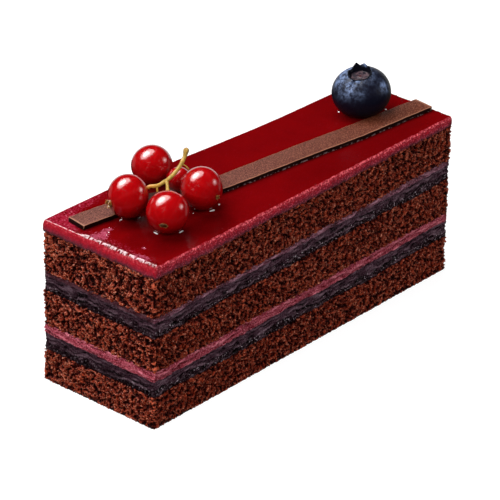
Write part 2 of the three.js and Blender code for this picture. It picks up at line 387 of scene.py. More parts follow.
@dataclass(frozen=True)
class SpongeFinish:
    """Moist open chocolate crumb: lit strands over pores darkened with painted shade."""

    strand: Colour = (0.475, 0.066, 0.021)
    crust: Colour = (0.26, 0.02, 0.006)
    ochre_and_glint: Colour = (0.8, 0.38, 0.245)
    middle: Colour = (0.09, 0.0045, 0.0015)
    # The pore colour is painted shade in the crumb's hollows.
    pore_shade: Colour = (0.0065, 0.0001, 0.0001)
    # The corner colour is a painted highlight along the bar's vertical corners.
    corner: Colour = (0.66, 0.12, 0.055)
    side_shade: float = 0.2
    broad: Span = (0.45, 2.4)
    fine: Span = (3.4, 4.6)
    dark_crumbs: Span = (0.5, 0.05, 0.0, 0.85)
    ochre_glint_crumbs: Span = (0.72, 1.0, 0.0, 0.75)
    corner_glint_front: Span = (0.6, 1.0)
    strand_front: Span = (0.5, 0.95)
    pore_shade_front: Span = (0.32, 0.72)
    dryness: Span = (0.8, 0.2, 0.2, 0.5)
    pore_dryness: Span = (0.8, 0.4, 0.0, 0.4)
    relief: float = 0.00035

    def material(self) -> Material:
        """Builds the material; it reads how far forward the crumb stands, the run and the corners, and
        paints shade in the hollows and past the wide end and a highlight at the corners.

        Returns:
            The material.
        """
        made, sheet, shader, place = new_material("chocolate_sponge", 0.4, Specular_IOR_Level=0.22)
        front = sheet.stored("front")
        broad, _ = patches(sheet, place, *self.broad)
        fine, height = patches(sheet, place, *self.fine)
        tone = sheet.mix(broad, self.strand, self.crust)
        tone = sheet.mix(sheet.ease(fine, *self.dark_crumbs), tone, self.middle)
        # The lightest crumbs take the ochre colour: partly their own tone, partly painted highlight.
        tone = sheet.mix(sheet.ease(fine, *self.ochre_glint_crumbs), tone, self.ochre_and_glint)
        # Painted highlight: forward crumb near the bar's vertical corners takes the corner colour.
        near = sheet.times(sheet.stored("corner"), sheet.ease(front, *self.corner_glint_front))
        tone = sheet.mix(near, tone, self.corner)
        # Painted shade: past the wide end the crumb is darkened towards the middle colour.
        on_side = sheet.ease(sheet.stored("run"), *END_TO_SIDE, 0.0, self.side_shade)
        tone = sheet.mix(on_side, tone, self.middle)
        # Below the strand tops the crumb eases to the middle colour and then to the pore colour: painted
        # shade in its hollows.
        tone = sheet.mix(sheet.ease(front, *self.strand_front), self.middle, tone)
        tone = sheet.mix(sheet.ease(front, *self.pore_shade_front), self.pore_shade, tone)
        rough = sheet.plus(sheet.ease(fine, *self.dryness), sheet.ease(front, *self.pore_dryness))
        dress(sheet, shader, tone, rough, height, self.relief)
        return made


@dataclass(frozen=True)
class SmearFinish:
    """A soft, moist layer that the knife has dragged into streaks.

    grain, contrast and speckle are the scale, contrast and strength of its fine patches. end_shade
    darkens it on the wide end with painted shade, and sink darkens it near its foot by holding its
    streaks back.
    """

    name: str
    body: Colour
    streak: Colour
    shade: Colour
    high: Colour
    glint: Colour = (0.5, 0.4, 0.45)
    glints: float = 0.0
    grain: float = 4.5
    roughness: float = 0.36
    contrast: float = 2.6
    end_shade: float = 0.0
    speckle: float = 1.0
    specular: float = 0.35
    sink: float = 0.0
    broad: Span = (0.6, 2.6)
    wander: float = 0.5
    high_rise: Span = (0.35, 1.05)
    foot_rise: Span = (0.0, 0.5)
    streak_span: Span = (0.5, 0.8)
    shade_span: Span = (0.5, 0.28, 0.0, 0.95)
    dark_specks: Span = (0.5, 0.1)
    dark_speck_share: float = 0.55
    light_specks: Span = (0.62, 0.95)
    light_speck_share: float = 0.7
    glint_patches: Span = (2.2, 2.6)
    glint_span: Span = (0.82, 0.9)
    glint_rise: float = 0.24
    glint_reach: Span = (0.3, 0.1)
    end_glints: float = 0.35
    wet: float = 0.14
    dry: float = 0.15
    relief: float = 0.0002

    def material(self) -> Material:
        """Builds the material; it reads the piece's streaks, its heights in the layer and its run.

        Returns:
            The material.
        """
        made, sheet, shader, place = new_material(
            self.name, self.roughness, Specular_IOR_Level=self.specular)
        streak = sheet.stored("streak")
        rise = sheet.stored("rise")
        broad, _ = patches(sheet, place, *self.broad)
        fine, height = patches(sheet, place, self.grain, self.contrast)
        wandering = sheet.plus(rise, sheet.times(broad, self.wander))
        # Towards its top the layer eases to the high colour; in the dark filling that is a painted
        # highlight on its upper part.
        tone = sheet.mix(sheet.ease(wandering, *self.high_rise), self.body, self.high)
        # Raised streaks take the streak colour, partly the smear's own lighter tone and partly painted
        # sheen; the troughs take painted shade.
        raised = sheet.ease(rise, *self.foot_rise, 1.0 - self.sink, 1.0)
        dragged = sheet.times(sheet.ease(streak, *self.streak_span), raised)
        tone = sheet.mix(dragged, tone, self.streak)
        tone = sheet.mix(sheet.ease(streak, *self.shade_span), tone, self.shade)
        low = sheet.ease(fine, *self.dark_specks, 0.0, self.dark_speck_share * self.speckle)
        tone = sheet.mix(low, tone, self.shade)
        high = sheet.ease(fine, *self.light_specks, 0.0, self.light_speck_share * self.speckle)
        tone = sheet.mix(high, tone, self.streak)
        # Painted shade on the wide end.
        at_end = sheet.ease(sheet.stored("run"), *reversed(END_TO_SIDE), 0.0, self.end_shade)
        tone = sheet.mix(at_end, tone, self.shade)
        tone = sheet.mix(self.glinting(sheet, place, rise, at_end), tone, self.glint)
        rough = sheet.ease(fine, 0.2, 0.8, self.roughness - self.wet, self.roughness + self.dry)
        dress(sheet, shader, tone, rough, height, self.relief)
        return made

    def glinting(self, sheet: Sheet, place: Value, rise: Value, at_end: Value) -> Value:
        """Draws the glints, which lie in a band low in the layer and are weaker on the wide end.

        Args:
            sheet: the material's sheet.
            place: the coordinates' socket.
            rise: the socket of the height in the layer.
            at_end: the socket of the wide end's shade.

        Returns:
            The socket of the glints' mask.
        """
        spots, _ = patches(sheet, place, *self.glint_patches)
        away = sheet.math("ABSOLUTE", sheet.math("SUBTRACT", rise, self.glint_rise))
        lit = sheet.times(sheet.ease(spots, *self.glint_span), sheet.ease(away, *self.glint_reach))
        strength = sheet.ease(at_end, 0.0, 0.3, self.glints, self.glints * self.end_glints)
        return sheet.times(lit, strength)


@dataclass(frozen=True)
class GlazeFinish:
    """Mirror-glossy red glaze, lighter and duller where it is cut; its top carries painted shade, painted
    red reflection, and duller hazy spots with painted glare and glint flecks.
    """

    top: Colour = (0.125, 0.0008, 0.0014)
    deep: Colour = (0.085, 0.0006, 0.0015)
    # The next four colours are painted shade, painted glare on the hazy spots, painted glint flecks and
    # painted red reflection.
    dim: Colour = (0.05, 0.0003, 0.0006)
    haze_glare: Colour = (0.27, 0.04, 0.072)
    glint_fleck: Colour = (0.62, 0.26, 0.33)
    red_glare: Colour = (0.23, 0.01, 0.026)
    cut_top: Colour = (0.31, 0.007, 0.016)
    cut_middle: Colour = (0.235, 0.011, 0.025)
    cut_bottom: Colour = (0.076, 0.021, 0.028)
    cut_light: Colour = (0.6, 0.11, 0.15)
    # Painted sparkle along the crest of the cut face.
    crest_sparkle: Colour = (0.88, 0.15, 0.18)
    broad: Span = (0.12, 1.8)
    fine: Span = (2.2, 3.0)
    grit: Span = (3.0, 4.6)
    crest_beads: Span = (1.9, 3.0)
    cut_wander: float = 0.7
    middle_depth: Span = (0.55, 1.0)
    bottom_depth: Span = (0.85, 1.3)
    dark_grit: Span = (0.5, 0.05, 0.0, 0.6)
    light_grit: Span = (0.68, 1.0, 0.0, 0.6)
    crest_depth: Span = (0.17, 0.05)
    crest_span: Span = (0.45, 0.8)
    deep_share: float = 0.7
    red_glare_wander: float = 0.8
    red_glare_span: Span = (0.25, 0.9)
    haze_wander: float = 0.9
    haze_span: Span = (0.48, 0.64)
    haze_strength: Span = (0.1, 0.8, 0.75, 1.0)
    fleck_span: Span = (0.25, 0.6)
    fleck_spots: Span = (0.87, 1.0, 0.0, 0.5)
    cut_roughness: Span = (0.35, 1.0, 0.12, 0.32)
    haze_roughness: float = 0.3
    cut_relief: Span = (0.2, 1.0, 0.12, 1.0)
    relief: float = 0.0003

    def material(self) -> Material:
        """Builds the material; it reads the masks cut, torn and slope, the depth, and the masks of the
        hazy spots with painted glare, of painted red reflection and of painted shade.

        Returns:
            The material.
        """
        made, sheet, shader, place = new_material(
            "berry_glaze", 0.12, IOR=1.25, Specular_IOR_Level=0.08, Coat_Roughness=0.04)
        cut = sheet.stored("cut")
        fine, height = patches(sheet, place, *self.fine)
        ragged = sheet.plus(sheet.stored("haze_glare"), sheet.times(sheet.centred(fine), self.haze_wander))
        haze_glare_mask = sheet.times(sheet.ease(ragged, *self.haze_span), sheet.ease(fine, *self.haze_strength))
        tone = sheet.mix(cut, self.top_tone(sheet, place, fine, haze_glare_mask),
                         self.cut_tone(sheet, place, height))
        rough = sheet.math("MAXIMUM", sheet.ease(cut, *self.cut_roughness),
                           sheet.times(haze_glare_mask, self.haze_roughness))
        uneven = sheet.times(height, sheet.ease(cut, *self.cut_relief))
        dress(sheet, shader, tone, rough, uneven, self.relief)
        sheet.feed(shader.inputs["Coat Weight"], sheet.stored("slope"))
        return made

    def cut_tone(self, sheet: Sheet, place: Value, height: Value) -> Value:
        """Colours the cut face: lighter at its top, gritty where torn, with painted sparkles beaded along
        its crest.

        Args:
            sheet: the material's sheet.
            place: the coordinates' socket.
            height: the socket of the fine patches' height.

        Returns:
            The colour's socket.
        """
        depth = sheet.stored("depth")
        torn = sheet.stored("torn")
        grit, _ = patches(sheet, place, *self.grit)
        beaded, _ = patches(sheet, place, *self.crest_beads)
        ragged = sheet.plus(depth, sheet.times(height, self.cut_wander))
        tone = sheet.mix(sheet.ease(ragged, *self.middle_depth), self.cut_top, self.cut_middle)
        tone = sheet.mix(sheet.ease(ragged, *self.bottom_depth), tone, self.cut_bottom)
        tone = sheet.mix(sheet.times(sheet.ease(grit, *self.dark_grit), torn), tone, self.cut_bottom)
        tone = sheet.mix(sheet.times(sheet.ease(grit, *self.light_grit), torn), tone, self.cut_light)
        # Painted sparkles beaded along the crest.
        lit = sheet.times(sheet.ease(depth, *self.crest_depth), sheet.ease(beaded, *self.crest_span))
        return sheet.mix(sheet.times(lit, torn), tone, self.crest_sparkle)

    def top_tone(self, sheet: Sheet, place: Value, fine: Value, haze_glare_mask: Value) -> Value:
        """Colours the top: deep red, with painted shade, painted red reflection, painted glare on the
        hazy spots and painted glint flecks in places.

        Args:
            sheet: the material's sheet.
            place: the coordinates' socket.
            fine: the socket of the fine patches' mask.
            haze_glare_mask: the socket of the haze's mask.

        Returns:
            The colour's socket.
        """
        haze_glare = sheet.stored("haze_glare")
        red_glare = sheet.stored("red_glare")
        broad, _ = patches(sheet, place, *self.broad)
        tone = sheet.mix(sheet.times(broad, self.deep_share), self.top, self.deep)
        # Painted shade near the currants, along the strip's front and on the front of the right part.
        tone = sheet.mix(sheet.stored("dim"), tone, self.dim)
        # Painted red reflection near the wide end and the back edge.
        mottled = sheet.plus(red_glare, sheet.times(sheet.centred(fine), self.red_glare_wander))
        tone = sheet.mix(sheet.ease(mottled, *self.red_glare_span), tone, self.red_glare)
        # Painted glare on the hazy spots, which are rougher too.
        tone = sheet.mix(haze_glare_mask, tone, self.haze_glare)
        # Painted glint flecks in the hazy and reflecting spots.
        dabbed = sheet.ease(sheet.math("MAXIMUM", haze_glare, red_glare), *self.fleck_span)
        glint_flecked = sheet.times(dabbed, sheet.ease(fine, *self.fleck_spots))
        return sheet.mix(glint_flecked, tone, self.glint_fleck)


@dataclass(frozen=True)
class ChocolateFinish:
    """Satin dark chocolate with a faint bloom, painted highlights on its top edges and painted glints in
    pale dashes along its foot.
    """

    body: Colour = (0.092, 0.026, 0.019)
    bloom: Colour = (0.128, 0.043, 0.034)
    far: Colour = (0.078, 0.014, 0.005)
    side: Colour = (0.006, 0.0012, 0.0008)
    wear_and_highlight: Colour = (0.38, 0.165, 0.1)
    dash: Colour = (0.22, 0.16, 0.16)
    broad: Span = (0.3, 2.0)
    fine: Span = (3.4, 4.5)
    dash_patches: Span = (1.3, 3.0)
    far_share: Span = (0.35, 0.95)
    dark_specks: Span = (0.55, 1.0, 0.0, 0.6)
    light_specks: Span = (0.4, 0.0, 0.0, 0.35)
    foot_span: Span = (0.6, 0.8)
    dash_share: Span = (0.35, 0.6)
    dash_span: Span = (0.55, 0.75)
    edge_highlight: float = 0.8
    roughness: Span = (0.2, 0.8, 0.42, 0.6)
    relief: float = 0.00006

    def material(self) -> Material:
        """Builds the material; it reads the masks edge, flank, foot and shaded, and the share.

        Returns:
            The material.
        """
        made, sheet, shader, place = new_material("dark_chocolate", 0.4, Specular_IOR_Level=0.15)
        share = sheet.stored("share")
        broad, _ = patches(sheet, place, *self.broad)
        fine, height = patches(sheet, place, *self.fine)
        tone = sheet.mix(broad, self.body, self.bloom)
        tone = sheet.mix(sheet.ease(share, *self.far_share), tone, self.far)
        tone = sheet.mix(sheet.ease(fine, *self.dark_specks), tone, self.side)
        tone = sheet.mix(sheet.ease(fine, *self.light_specks), tone, self.wear_and_highlight)
        # The sides and the foot are darker, and the spot between the currants takes painted shade.
        dark = sheet.math("MAXIMUM", sheet.stored("flank"), sheet.stored("shaded"))
        tone = sheet.mix(dark, tone, self.side)
        # Pale dashes along the foot are painted glints.
        foot = sheet.times(sheet.ease(sheet.stored("foot"), *self.foot_span),
                           sheet.ease(share, *self.dash_share))
        dashes, _ = patches(sheet, place, *self.dash_patches)
        tone = sheet.mix(sheet.times(foot, sheet.ease(dashes, *self.dash_span)), tone, self.dash)
        # Painted highlight along the top edges.
        tone = sheet.mix(sheet.times(sheet.stored("edge"), self.edge_highlight), tone, self.wear_and_highlight)
        dress(sheet, shader, tone, sheet.ease(fine, *self.roughness), height, self.relief)
        return made


@dataclass(frozen=True)
class CurrantFinish:
    """Thin clear skin over red flesh with faint veins from pole to pole."""

    flesh: Colour = (0.295, 0.001, 0.0022)
    dark: Colour = (0.1, 0.0006, 0.001)
    vein: Colour = (0.62, 0.02, 0.022)
    broad: Span = (0.3, 2.0)
    fine: Span = (1.6, 2.0)
    dark_patches: float = 0.14
    underside: float = 0.8
    veins: float = 0.14
    roughness: Span = (0.2, 0.8, 0.1, 0.22)
    relief: float = 0.00004

    def material(self) -> Material:
        """Builds the material; it reads the berry's veins and its shaded underside.

        Returns:
            The material.
        """
        made, sheet, shader, place = new_material(
            "currant_skin", 0.16, IOR=1.42, Coat_Weight=0.7, Coat_Roughness=0.03,
            Subsurface_Weight=0.2, Subsurface_Radius=(1.0, 0.08, 0.05), Subsurface_Scale=0.003)
        broad, _ = patches(sheet, place, *self.broad)
        fine, height = patches(sheet, place, *self.fine)
        tone = sheet.mix(sheet.times(broad, self.dark_patches), self.flesh, self.dark)
        tone = sheet.mix(sheet.times(sheet.stored("under"), self.underside), tone, self.dark)
        tone = sheet.mix(sheet.times(sheet.stored("vein"), self.veins), tone, self.vein)
        dress(sheet, shader, tone, sheet.ease(fine, *self.roughness), height, self.relief)
        return made


@dataclass(frozen=True)
class StalkFinish:
    """Golden stalk with greener patches, orange at its foot and browner at its tip."""

    name: str = "stalk_skin"
    middle: Colour = (0.42, 0.235, 0.04)
    green: Colour = (0.24, 0.165, 0.022)
    foot: Colour = (0.5, 0.2, 0.022)
    tip: Colour = (0.16, 0.075, 0.015)
    fine: Span = (2.2, 3.4)
    foot_span: Span = (0.35, 0.0, 0.0, 0.8)
    tip_span: Span = (0.85, 0.95)
    tip_spots: Span = (0.25, 0.7)
    roughness: Span = (0.2, 0.8, 0.32, 0.5)
    relief: float = 0.00015

    def material(self) -> Material:
        """Builds the material; it reads how far along the stem a point is.

        Returns:
            The material.
        """
        made, sheet, shader, place = new_material(self.name, 0.4)
        along = sheet.stored("along")
        fine, height = patches(sheet, place, *self.fine)
        tone = sheet.mix(fine, self.middle, self.green)
        tone = sheet.mix(sheet.ease(along, *self.foot_span), tone, self.foot)
        spots = sheet.times(sheet.ease(along, *self.tip_span), fine)
        tone = sheet.mix(sheet.ease(spots, *self.tip_spots), tone, self.tip)
        dress(sheet, shader, tone, sheet.ease(fine, *self.roughness), height, self.relief)
        return made


@dataclass(frozen=True)
class BlueberryFinish:
    """Near-black skin under a pale bloom that is rubbed off in places."""

    skin: Colour = (0.0036, 0.0034, 0.0085)
    bloom: Colour = (0.122, 0.166, 0.285)
    lobe: Colour = (0.003, 0.003, 0.006)
    cup: Colour = (0.074, 0.044, 0.052)
    scar: Colour = (0.03, 0.003, 0.005)
    broad: Span = (0.28, 5.0)
    fine: Span = (1.1, 5.0)
    broad_left: float = 0.15
    fine_left: float = 0.12
    cup_speckle: Span = (0.3, 0.7, 0.12, 0.9)
    roughness: Span = (0.0, 0.7, 0.34, 0.65)
    relief: float = 0.0001

    def material(self) -> Material:
        """Builds the material; it reads the masks of the bloom, which carries painted sheen, the lobes,
        the cup and its scar.

        Returns:
            The material.
        """
        made, sheet, shader, place = new_material("blueberry_skin", 0.5, Specular_IOR_Level=0.12)
        broad, _ = patches(sheet, place, *self.broad)
        fine, height = patches(sheet, place, *self.fine)
        rubbed = sheet.times(sheet.plus(broad, self.broad_left), sheet.plus(fine, self.fine_left))
        amount = sheet.math("MULTIPLY", sheet.stored("bloom"), rubbed, clamp=True)
        tone = sheet.mix(amount, self.skin, self.bloom)
        tone = sheet.mix(sheet.stored("lobe"), tone, self.lobe)
        speckled = sheet.times(sheet.stored("cup"), sheet.ease(fine, *self.cup_speckle))
        tone = sheet.mix(speckled, tone, self.cup)
        tone = sheet.mix(sheet.stored("scar"), tone, self.scar)
        dress(sheet, shader, tone, sheet.ease(amount, *self.roughness), height, self.relief)
        return made


# ---- Shapes shared by several pieces ----


def grain(x: Array, y: Array, size: float, seed: int) -> Array:
    """Smooth uneven heights over points of a plane.

    Args:
        x: first coordinates.
        y: second coordinates.
        size: distance between bumps.
        seed: which pattern.

    Returns:
        Values between -1 and 1.
    """
    table = np.random.default_rng(seed).uniform(-1, 1, (256, 256))
    u, v = np.asarray(x) / size + 512, np.asarray(y) / size + 512
    column, row = np.floor(u).astype(int), np.floor(v).astype(int)
    right, up = u - column, v - row
    right, up = right**2 * (3 - 2 * right), up**2 * (3 - 2 * up)
    column, row = column % 255, row % 255
    low = table[row, column] * (1 - right) + table[row, column + 1] * right
    high = table[row + 1, column] * (1 - right) + table[row + 1, column + 1] * right
    return low * (1 - up) + high * up


def smooth_route(route: Array, steps: int = 8) -> Array:
    """A smooth curve through the rows of a route.

    Args:
        route: one row of coordinates, or of any numbers, for each stop.
        steps: rows for each stretch between stops.

    Returns:
        The finer route.
    """
    padded = np.vstack([2 * route[0] - route[1], route, 2 * route[-1] - route[-2]])
    out = []
    for before, start, end, after in zip(padded, padded[1:], padded[2:], padded[3:]):
        for t in np.linspace(0, 1, steps, endpoint=False):
            square = (2 * before - 5 * start + 4 * end - after) * t * t
            cube = (3 * start - before - 3 * end + after) * t**3
            out.append(0.5 * (2 * start + (end - before) * t + square + cube))
    return np.array(out + [route[-1]])


def ring_faces(lower: Array, upper: Array) -> Array:
    """Quads between two closed loops of point indices, facing out when upper is above."""
    return np.column_stack([lower, np.roll(lower, -1), np.roll(upper, -1), upper])


def wall_faces(loops: Array, flip: bool = False) -> list:
    """Quads between each closed loop of point indices and the next."""
    pairs = zip(loops, loops[1:])
    return np.concatenate([ring_faces(b, a) if flip else ring_faces(a, b) for a, b in pairs]).tolist()


def ball_faces(loops: Array, low: int, high: int, flip: bool = False) -> list:
    """Faces of a closed ball: its walls, and a fan of triangles at either end.

    Args:
        loops: one row of point indices for each closed loop.
        low: the point beyond the first loop.
        high: the point beyond the last one.
        flip: face them the other way.

    Returns:
        The indices of each face.
    """
    faces = wall_faces(loops, flip)
    for near, after in zip(loops.T.tolist(), np.roll(loops, -1, axis=1).T.tolist()):
        a, b = (after, near) if flip else (near, after)
        faces += [[low, b[0], a[0]], [high, a[-1], b[-1]]]
    return faces


def unit_rows(rows: Array) -> Array:
    """Scales each row of a table to length 1."""
    return rows / np.linalg.norm(rows, axis=1)[:, None]


def lengths_along(route: Array) -> Array:
    """How far along a route of points each of them lies, from 0."""
    return np.concatenate([[0], np.cumsum(np.linalg.norm(np.diff(route, axis=0), axis=1))])


def bell(away: Value, reach: float) -> Value:
    """A soft bump over distances: 1 in its middle, down to about a third at its reach."""
    return np.exp(-((away / reach) ** 2))


def turn_to(pole: Array) -> Array:
    """A 3 by 3 matrix of the rotation that takes +Z to a pole."""
    return np.array(Vector((0, 0, 1)).rotation_difference(Vector(pole).normalized()).to_matrix())


# ---- The bar ----


@dataclass(frozen=True)
class Level:
    """Where one layer ends and the next begins.

    wide and narrow are its heights at the two ends, ripple is how far it ripples up and down,
    and phase is where its ripples start.
    """

    wide: float
    narrow: float
    ripple: float = 0.0
    phase: float = 0.0


@dataclass(frozen=True)
class Bar:
    """Plan and levels of the bar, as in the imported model.

    quick_taper is the span of shares of the length over which most of the narrowing happens,
    slow_power how late the rest of it happens, and corner the radius of the plan's corners.
    """

    length: float = 106.9
    wide_end: float = 34.6
    narrow_end: float = 29.0
    quick_taper: Span = (0.16, 0.75)
    slow_power: float = 1.5
    corner: float = 0.45
    table: Level = Level(0, 0)
    bottom_sponge: Level = Level(8.1, 9.1, 0.16, 0.4)
    lower_filling: Level = Level(12.2, 13.4, 0.12, 1.9)
    pink_cream: Level = Level(14.7, 15.6, 0.14, 3.1)
    middle_sponge: Level = Level(23.8, 25.1, 0.18, 4.4)
    upper_filling: Level = Level(27.7, 28.8, 0.12, 5.2)
    mauve_film: Level = Level(28.6, 30.1, 0.1, 0.9)
    top_sponge: Level = Level(39.0, 39.5, 0.12, 2.6)
    top: Level = Level(42, 42)

    def width(self, along: Array) -> Array:
        """Width of the bar.

        Args:
            along: shares of its length, from 0 at the wide end to 1 at the narrow end.

        Returns:
            The width at each share.
        """
        low, high = self.quick_taper
        t = np.clip((along - low) / (high - low), 0, 1)
        quick = 1 - t * t * (3 - 2 * t)
        slow = 1 - np.clip(along, 0, 1) ** self.slow_power
        return self.narrow_end + (self.wide_end - self.narrow_end) * 0.5 * (quick + slow)

    def height(self, level: Level, x: Array, y: Array) -> Array:
        """Height of a level, ripples included.

        Args:
            level: the level.
            x: places along the bar.
            y: places across it.

        Returns:
            The height at each place.
        """
        along = (x + self.length / 2) / self.length
        across = (y + self.wide_end / 2) / self.width(along)
        slope = level.wide + (level.narrow - level.wide) * along
        long_ripple = np.sin(math.tau * 2.3 * along + level.phase)
        cross_ripple = np.sin(math.tau * (3.7 * along + 1.1 * across) + level.phase * 2)
        return slope + level.ripple * (long_ripple + 0.5 * cross_ripple)

    def back(self, x: Array) -> Array:
        """Where the back long side runs: its y at places along the bar."""
        return self.width((x + self.length / 2) / self.length) - self.wide_end / 2

    def gaps(self, x: Array, y: Array) -> tuple:
        """Distances of points from the wide end, the narrow end, the front and the back."""
        return (x + self.length / 2, self.length / 2 - x, y + self.wide_end / 2, self.back(x) - y)

    def corners(self) -> tuple:
        """The x and y of the plan's four corners."""
        x, y = self.length / 2, self.wide_end / 2
        return (-x, -y), (x, -y), (x, self.narrow_end - y), (-x, y)

    def outline(self, step: float) -> tuple[Array, Array]:
        """Walks round the plan, counter-clockwise from the back corner of the wide end.

        Args:
            step: distance between points.

        Returns:
            The points, and at each the way out of the bar, both with two columns.
        """
        left, right, front = -self.length / 2, self.length / 2, -self.wide_end / 2
        x = np.linspace(right, left, 400)
        back = np.column_stack([x, self.back(x)])
        ends = np.array([[left, front], [right, front], [right, self.back(np.array([right]))[0]]])
        corners = [back[-1], *ends]
        # Points of the back side a few millimetres from its ends give its direction there.
        inset = 40
        path = []
        for index, corner in enumerate(corners):
            before = back[-inset] if index == 0 else corners[index - 1]
            after = corners[index + 1] if index < 3 else back[inset]
            into = (before - corner) / np.linalg.norm(before - corner)
            out = (after - corner) / np.linalg.norm(after - corner)
            turn = np.linspace(0, 1, 7)[:, None]
            start, end = corner + into * self.corner, corner + out * self.corner
            path += list((1 - turn) ** 2 * start + 2 * turn * (1 - turn) * corner + turn**2 * end)
        inner = back[(back[:, 0] > left + self.corner) & (back[:, 0] < right - self.corner)]
        path = np.array(path + list(inner) + [path[0]])
        run = lengths_along(path)
        count = int(run[-1] / step)
        at = np.arange(count) * run[-1] / count
        points = np.column_stack([np.interp(at, run, path[:, 0]), np.interp(at, run, path[:, 1])])
        tangent = unit_rows(np.roll(points, -1, axis=0) - np.roll(points, 1, axis=0))
        return points, np.column_stack([tangent[:, 1], -tangent[:, 0]])


BAR = Bar()


# How far in the flat top and bottom of a layer start, and how far the painted highlight at the corners
# reaches.
INNER_SET_BACK = 2.5
CORNER_GLINT_REACH = 0.65


def skin_block(name: str, lower: Level, upper: Level, step: float, set_back: float) -> Piece:
    """A layer of the bar as a closed block with finely divided sides.

    Args:
        name: the piece's name.
        lower: the level it starts at.
        upper: the level it ends at.
        step: distance between points on its sides.
        set_back: how far its sides stand back halfway up.

    Returns:
        The piece, with attributes outward, run, rise and corner on its points; corner places the sponge's
        painted highlight at the plan's corners.
    """
    plan, outward = BAR.outline(step)
    count = len(plan)
    low = BAR.height(lower, plan[:, 0], plan[:, 1])
    high = BAR.height(upper, plan[:, 0], plan[:, 1])
    rows = max(4, int(np.mean(high - low) / step))
    inner = plan - outward * INNER_SET_BACK
    layers = [np.column_stack([inner, low])]
    rises = [np.zeros(count)]
    for row in range(rows + 1):
        share = row / rows
        inset = set_back * math.sin(math.pi * share) ** 0.5
        layers.append(np.column_stack([plan - outward * inset, low + (high - low) * share]))
        rises.append(np.full(count, share))
    layers.append(np.column_stack([inner, high]))
    rises.append(np.ones(count))
    loops = np.arange(len(layers) * count).reshape(len(layers), count)
    faces = wall_faces(loops)
    faces.append(loops[0][::-1].tolist())
    faces.append(loops[-1].tolist())
    piece = new_piece(name, np.concatenate(layers), faces)
    out = np.column_stack([outward, np.zeros(count)])
    still = np.zeros_like(out)
    store(piece, "outward", np.concatenate([still] + [out] * (rows + 1) + [still]))
    store(piece, "run", np.tile(np.arange(count) * step, len(layers)))
    store(piece, "rise", np.concatenate(rises))
    # The corner mask places the sponge's painted highlight near the plan's corners.
    away = np.minimum.reduce([np.hypot(plan[:, 0] - x, plan[:, 1] - y) for x, y in BAR.corners()])
    store(piece, "corner", np.tile(bell(away, CORNER_GLINT_REACH), len(layers)))
    return piece


def end_tree(sheet: Sheet, geometry: Value, finish: Value, result: Value) -> None:
    """Ends a geometry tree with its instances realized and its material set.

    Args:
        sheet: the tree's sheet.
        geometry: the geometry's socket.
        finish: the material's socket.
        result: the sockets that take the tree's outputs.
    """
    real = sheet.node("GeometryNodeRealizeInstances", {0: geometry}).outputs[0]
    dressed = sheet.node("GeometryNodeSetMaterial", {"Geometry": real, "Material": finish})
    sheet.feed(result["Geometry"], dressed.outputs[0])


def push_out(sheet: Sheet, geometry: Value, name: str, mask: Value, lift: Value) -> Value:
    """Stores a mask and moves a block's sides along their outward way.

    Args:
        sheet: the tree's sheet.
        geometry: the geometry's socket.
        name: the mask's name on the piece.
        mask: the mask's socket.
        lift: how far to move, in millimetres.

    Returns:
        The moved geometry's socket.
    """
    outward = sheet.stored("outward", "FLOAT_VECTOR")
    offset = sheet.vector("SCALE", outward, sheet.times(lift, MM))
    kept = sheet.node("GeometryNodeStoreNamedAttribute",
                      {"Geometry": geometry, "Name": name, "Value": mask},
                      data_type="FLOAT", domain="POINT").outputs[0]
    return sheet.node("GeometryNodeSetPosition", {"Geometry": kept, "Offset": offset}).outputs[0]


@dataclass(frozen=True)
class Strands:
    """One set of crumb strands: shift of its noise, how much finer and how much thicker they are."""

    shift: Place
    finer: float
    thicker: float


FIRST_STRANDS = Strands((0.0, 0.0, 0.0), 1.0, 1.0)
SECOND_STRANDS = Strands((31.0, 17.0, 5.0), 1.25, 0.9)
DEEP_STRANDS = Strands((7.0, 53.0, 23.0), 1.5, 1.0)
KNOT_SHIFT = (3.0, 9.0, 71.0)
# Height over which the crumb is pressed flat against the table, in millimetres.
PRESSED_HEIGHT = 1.3


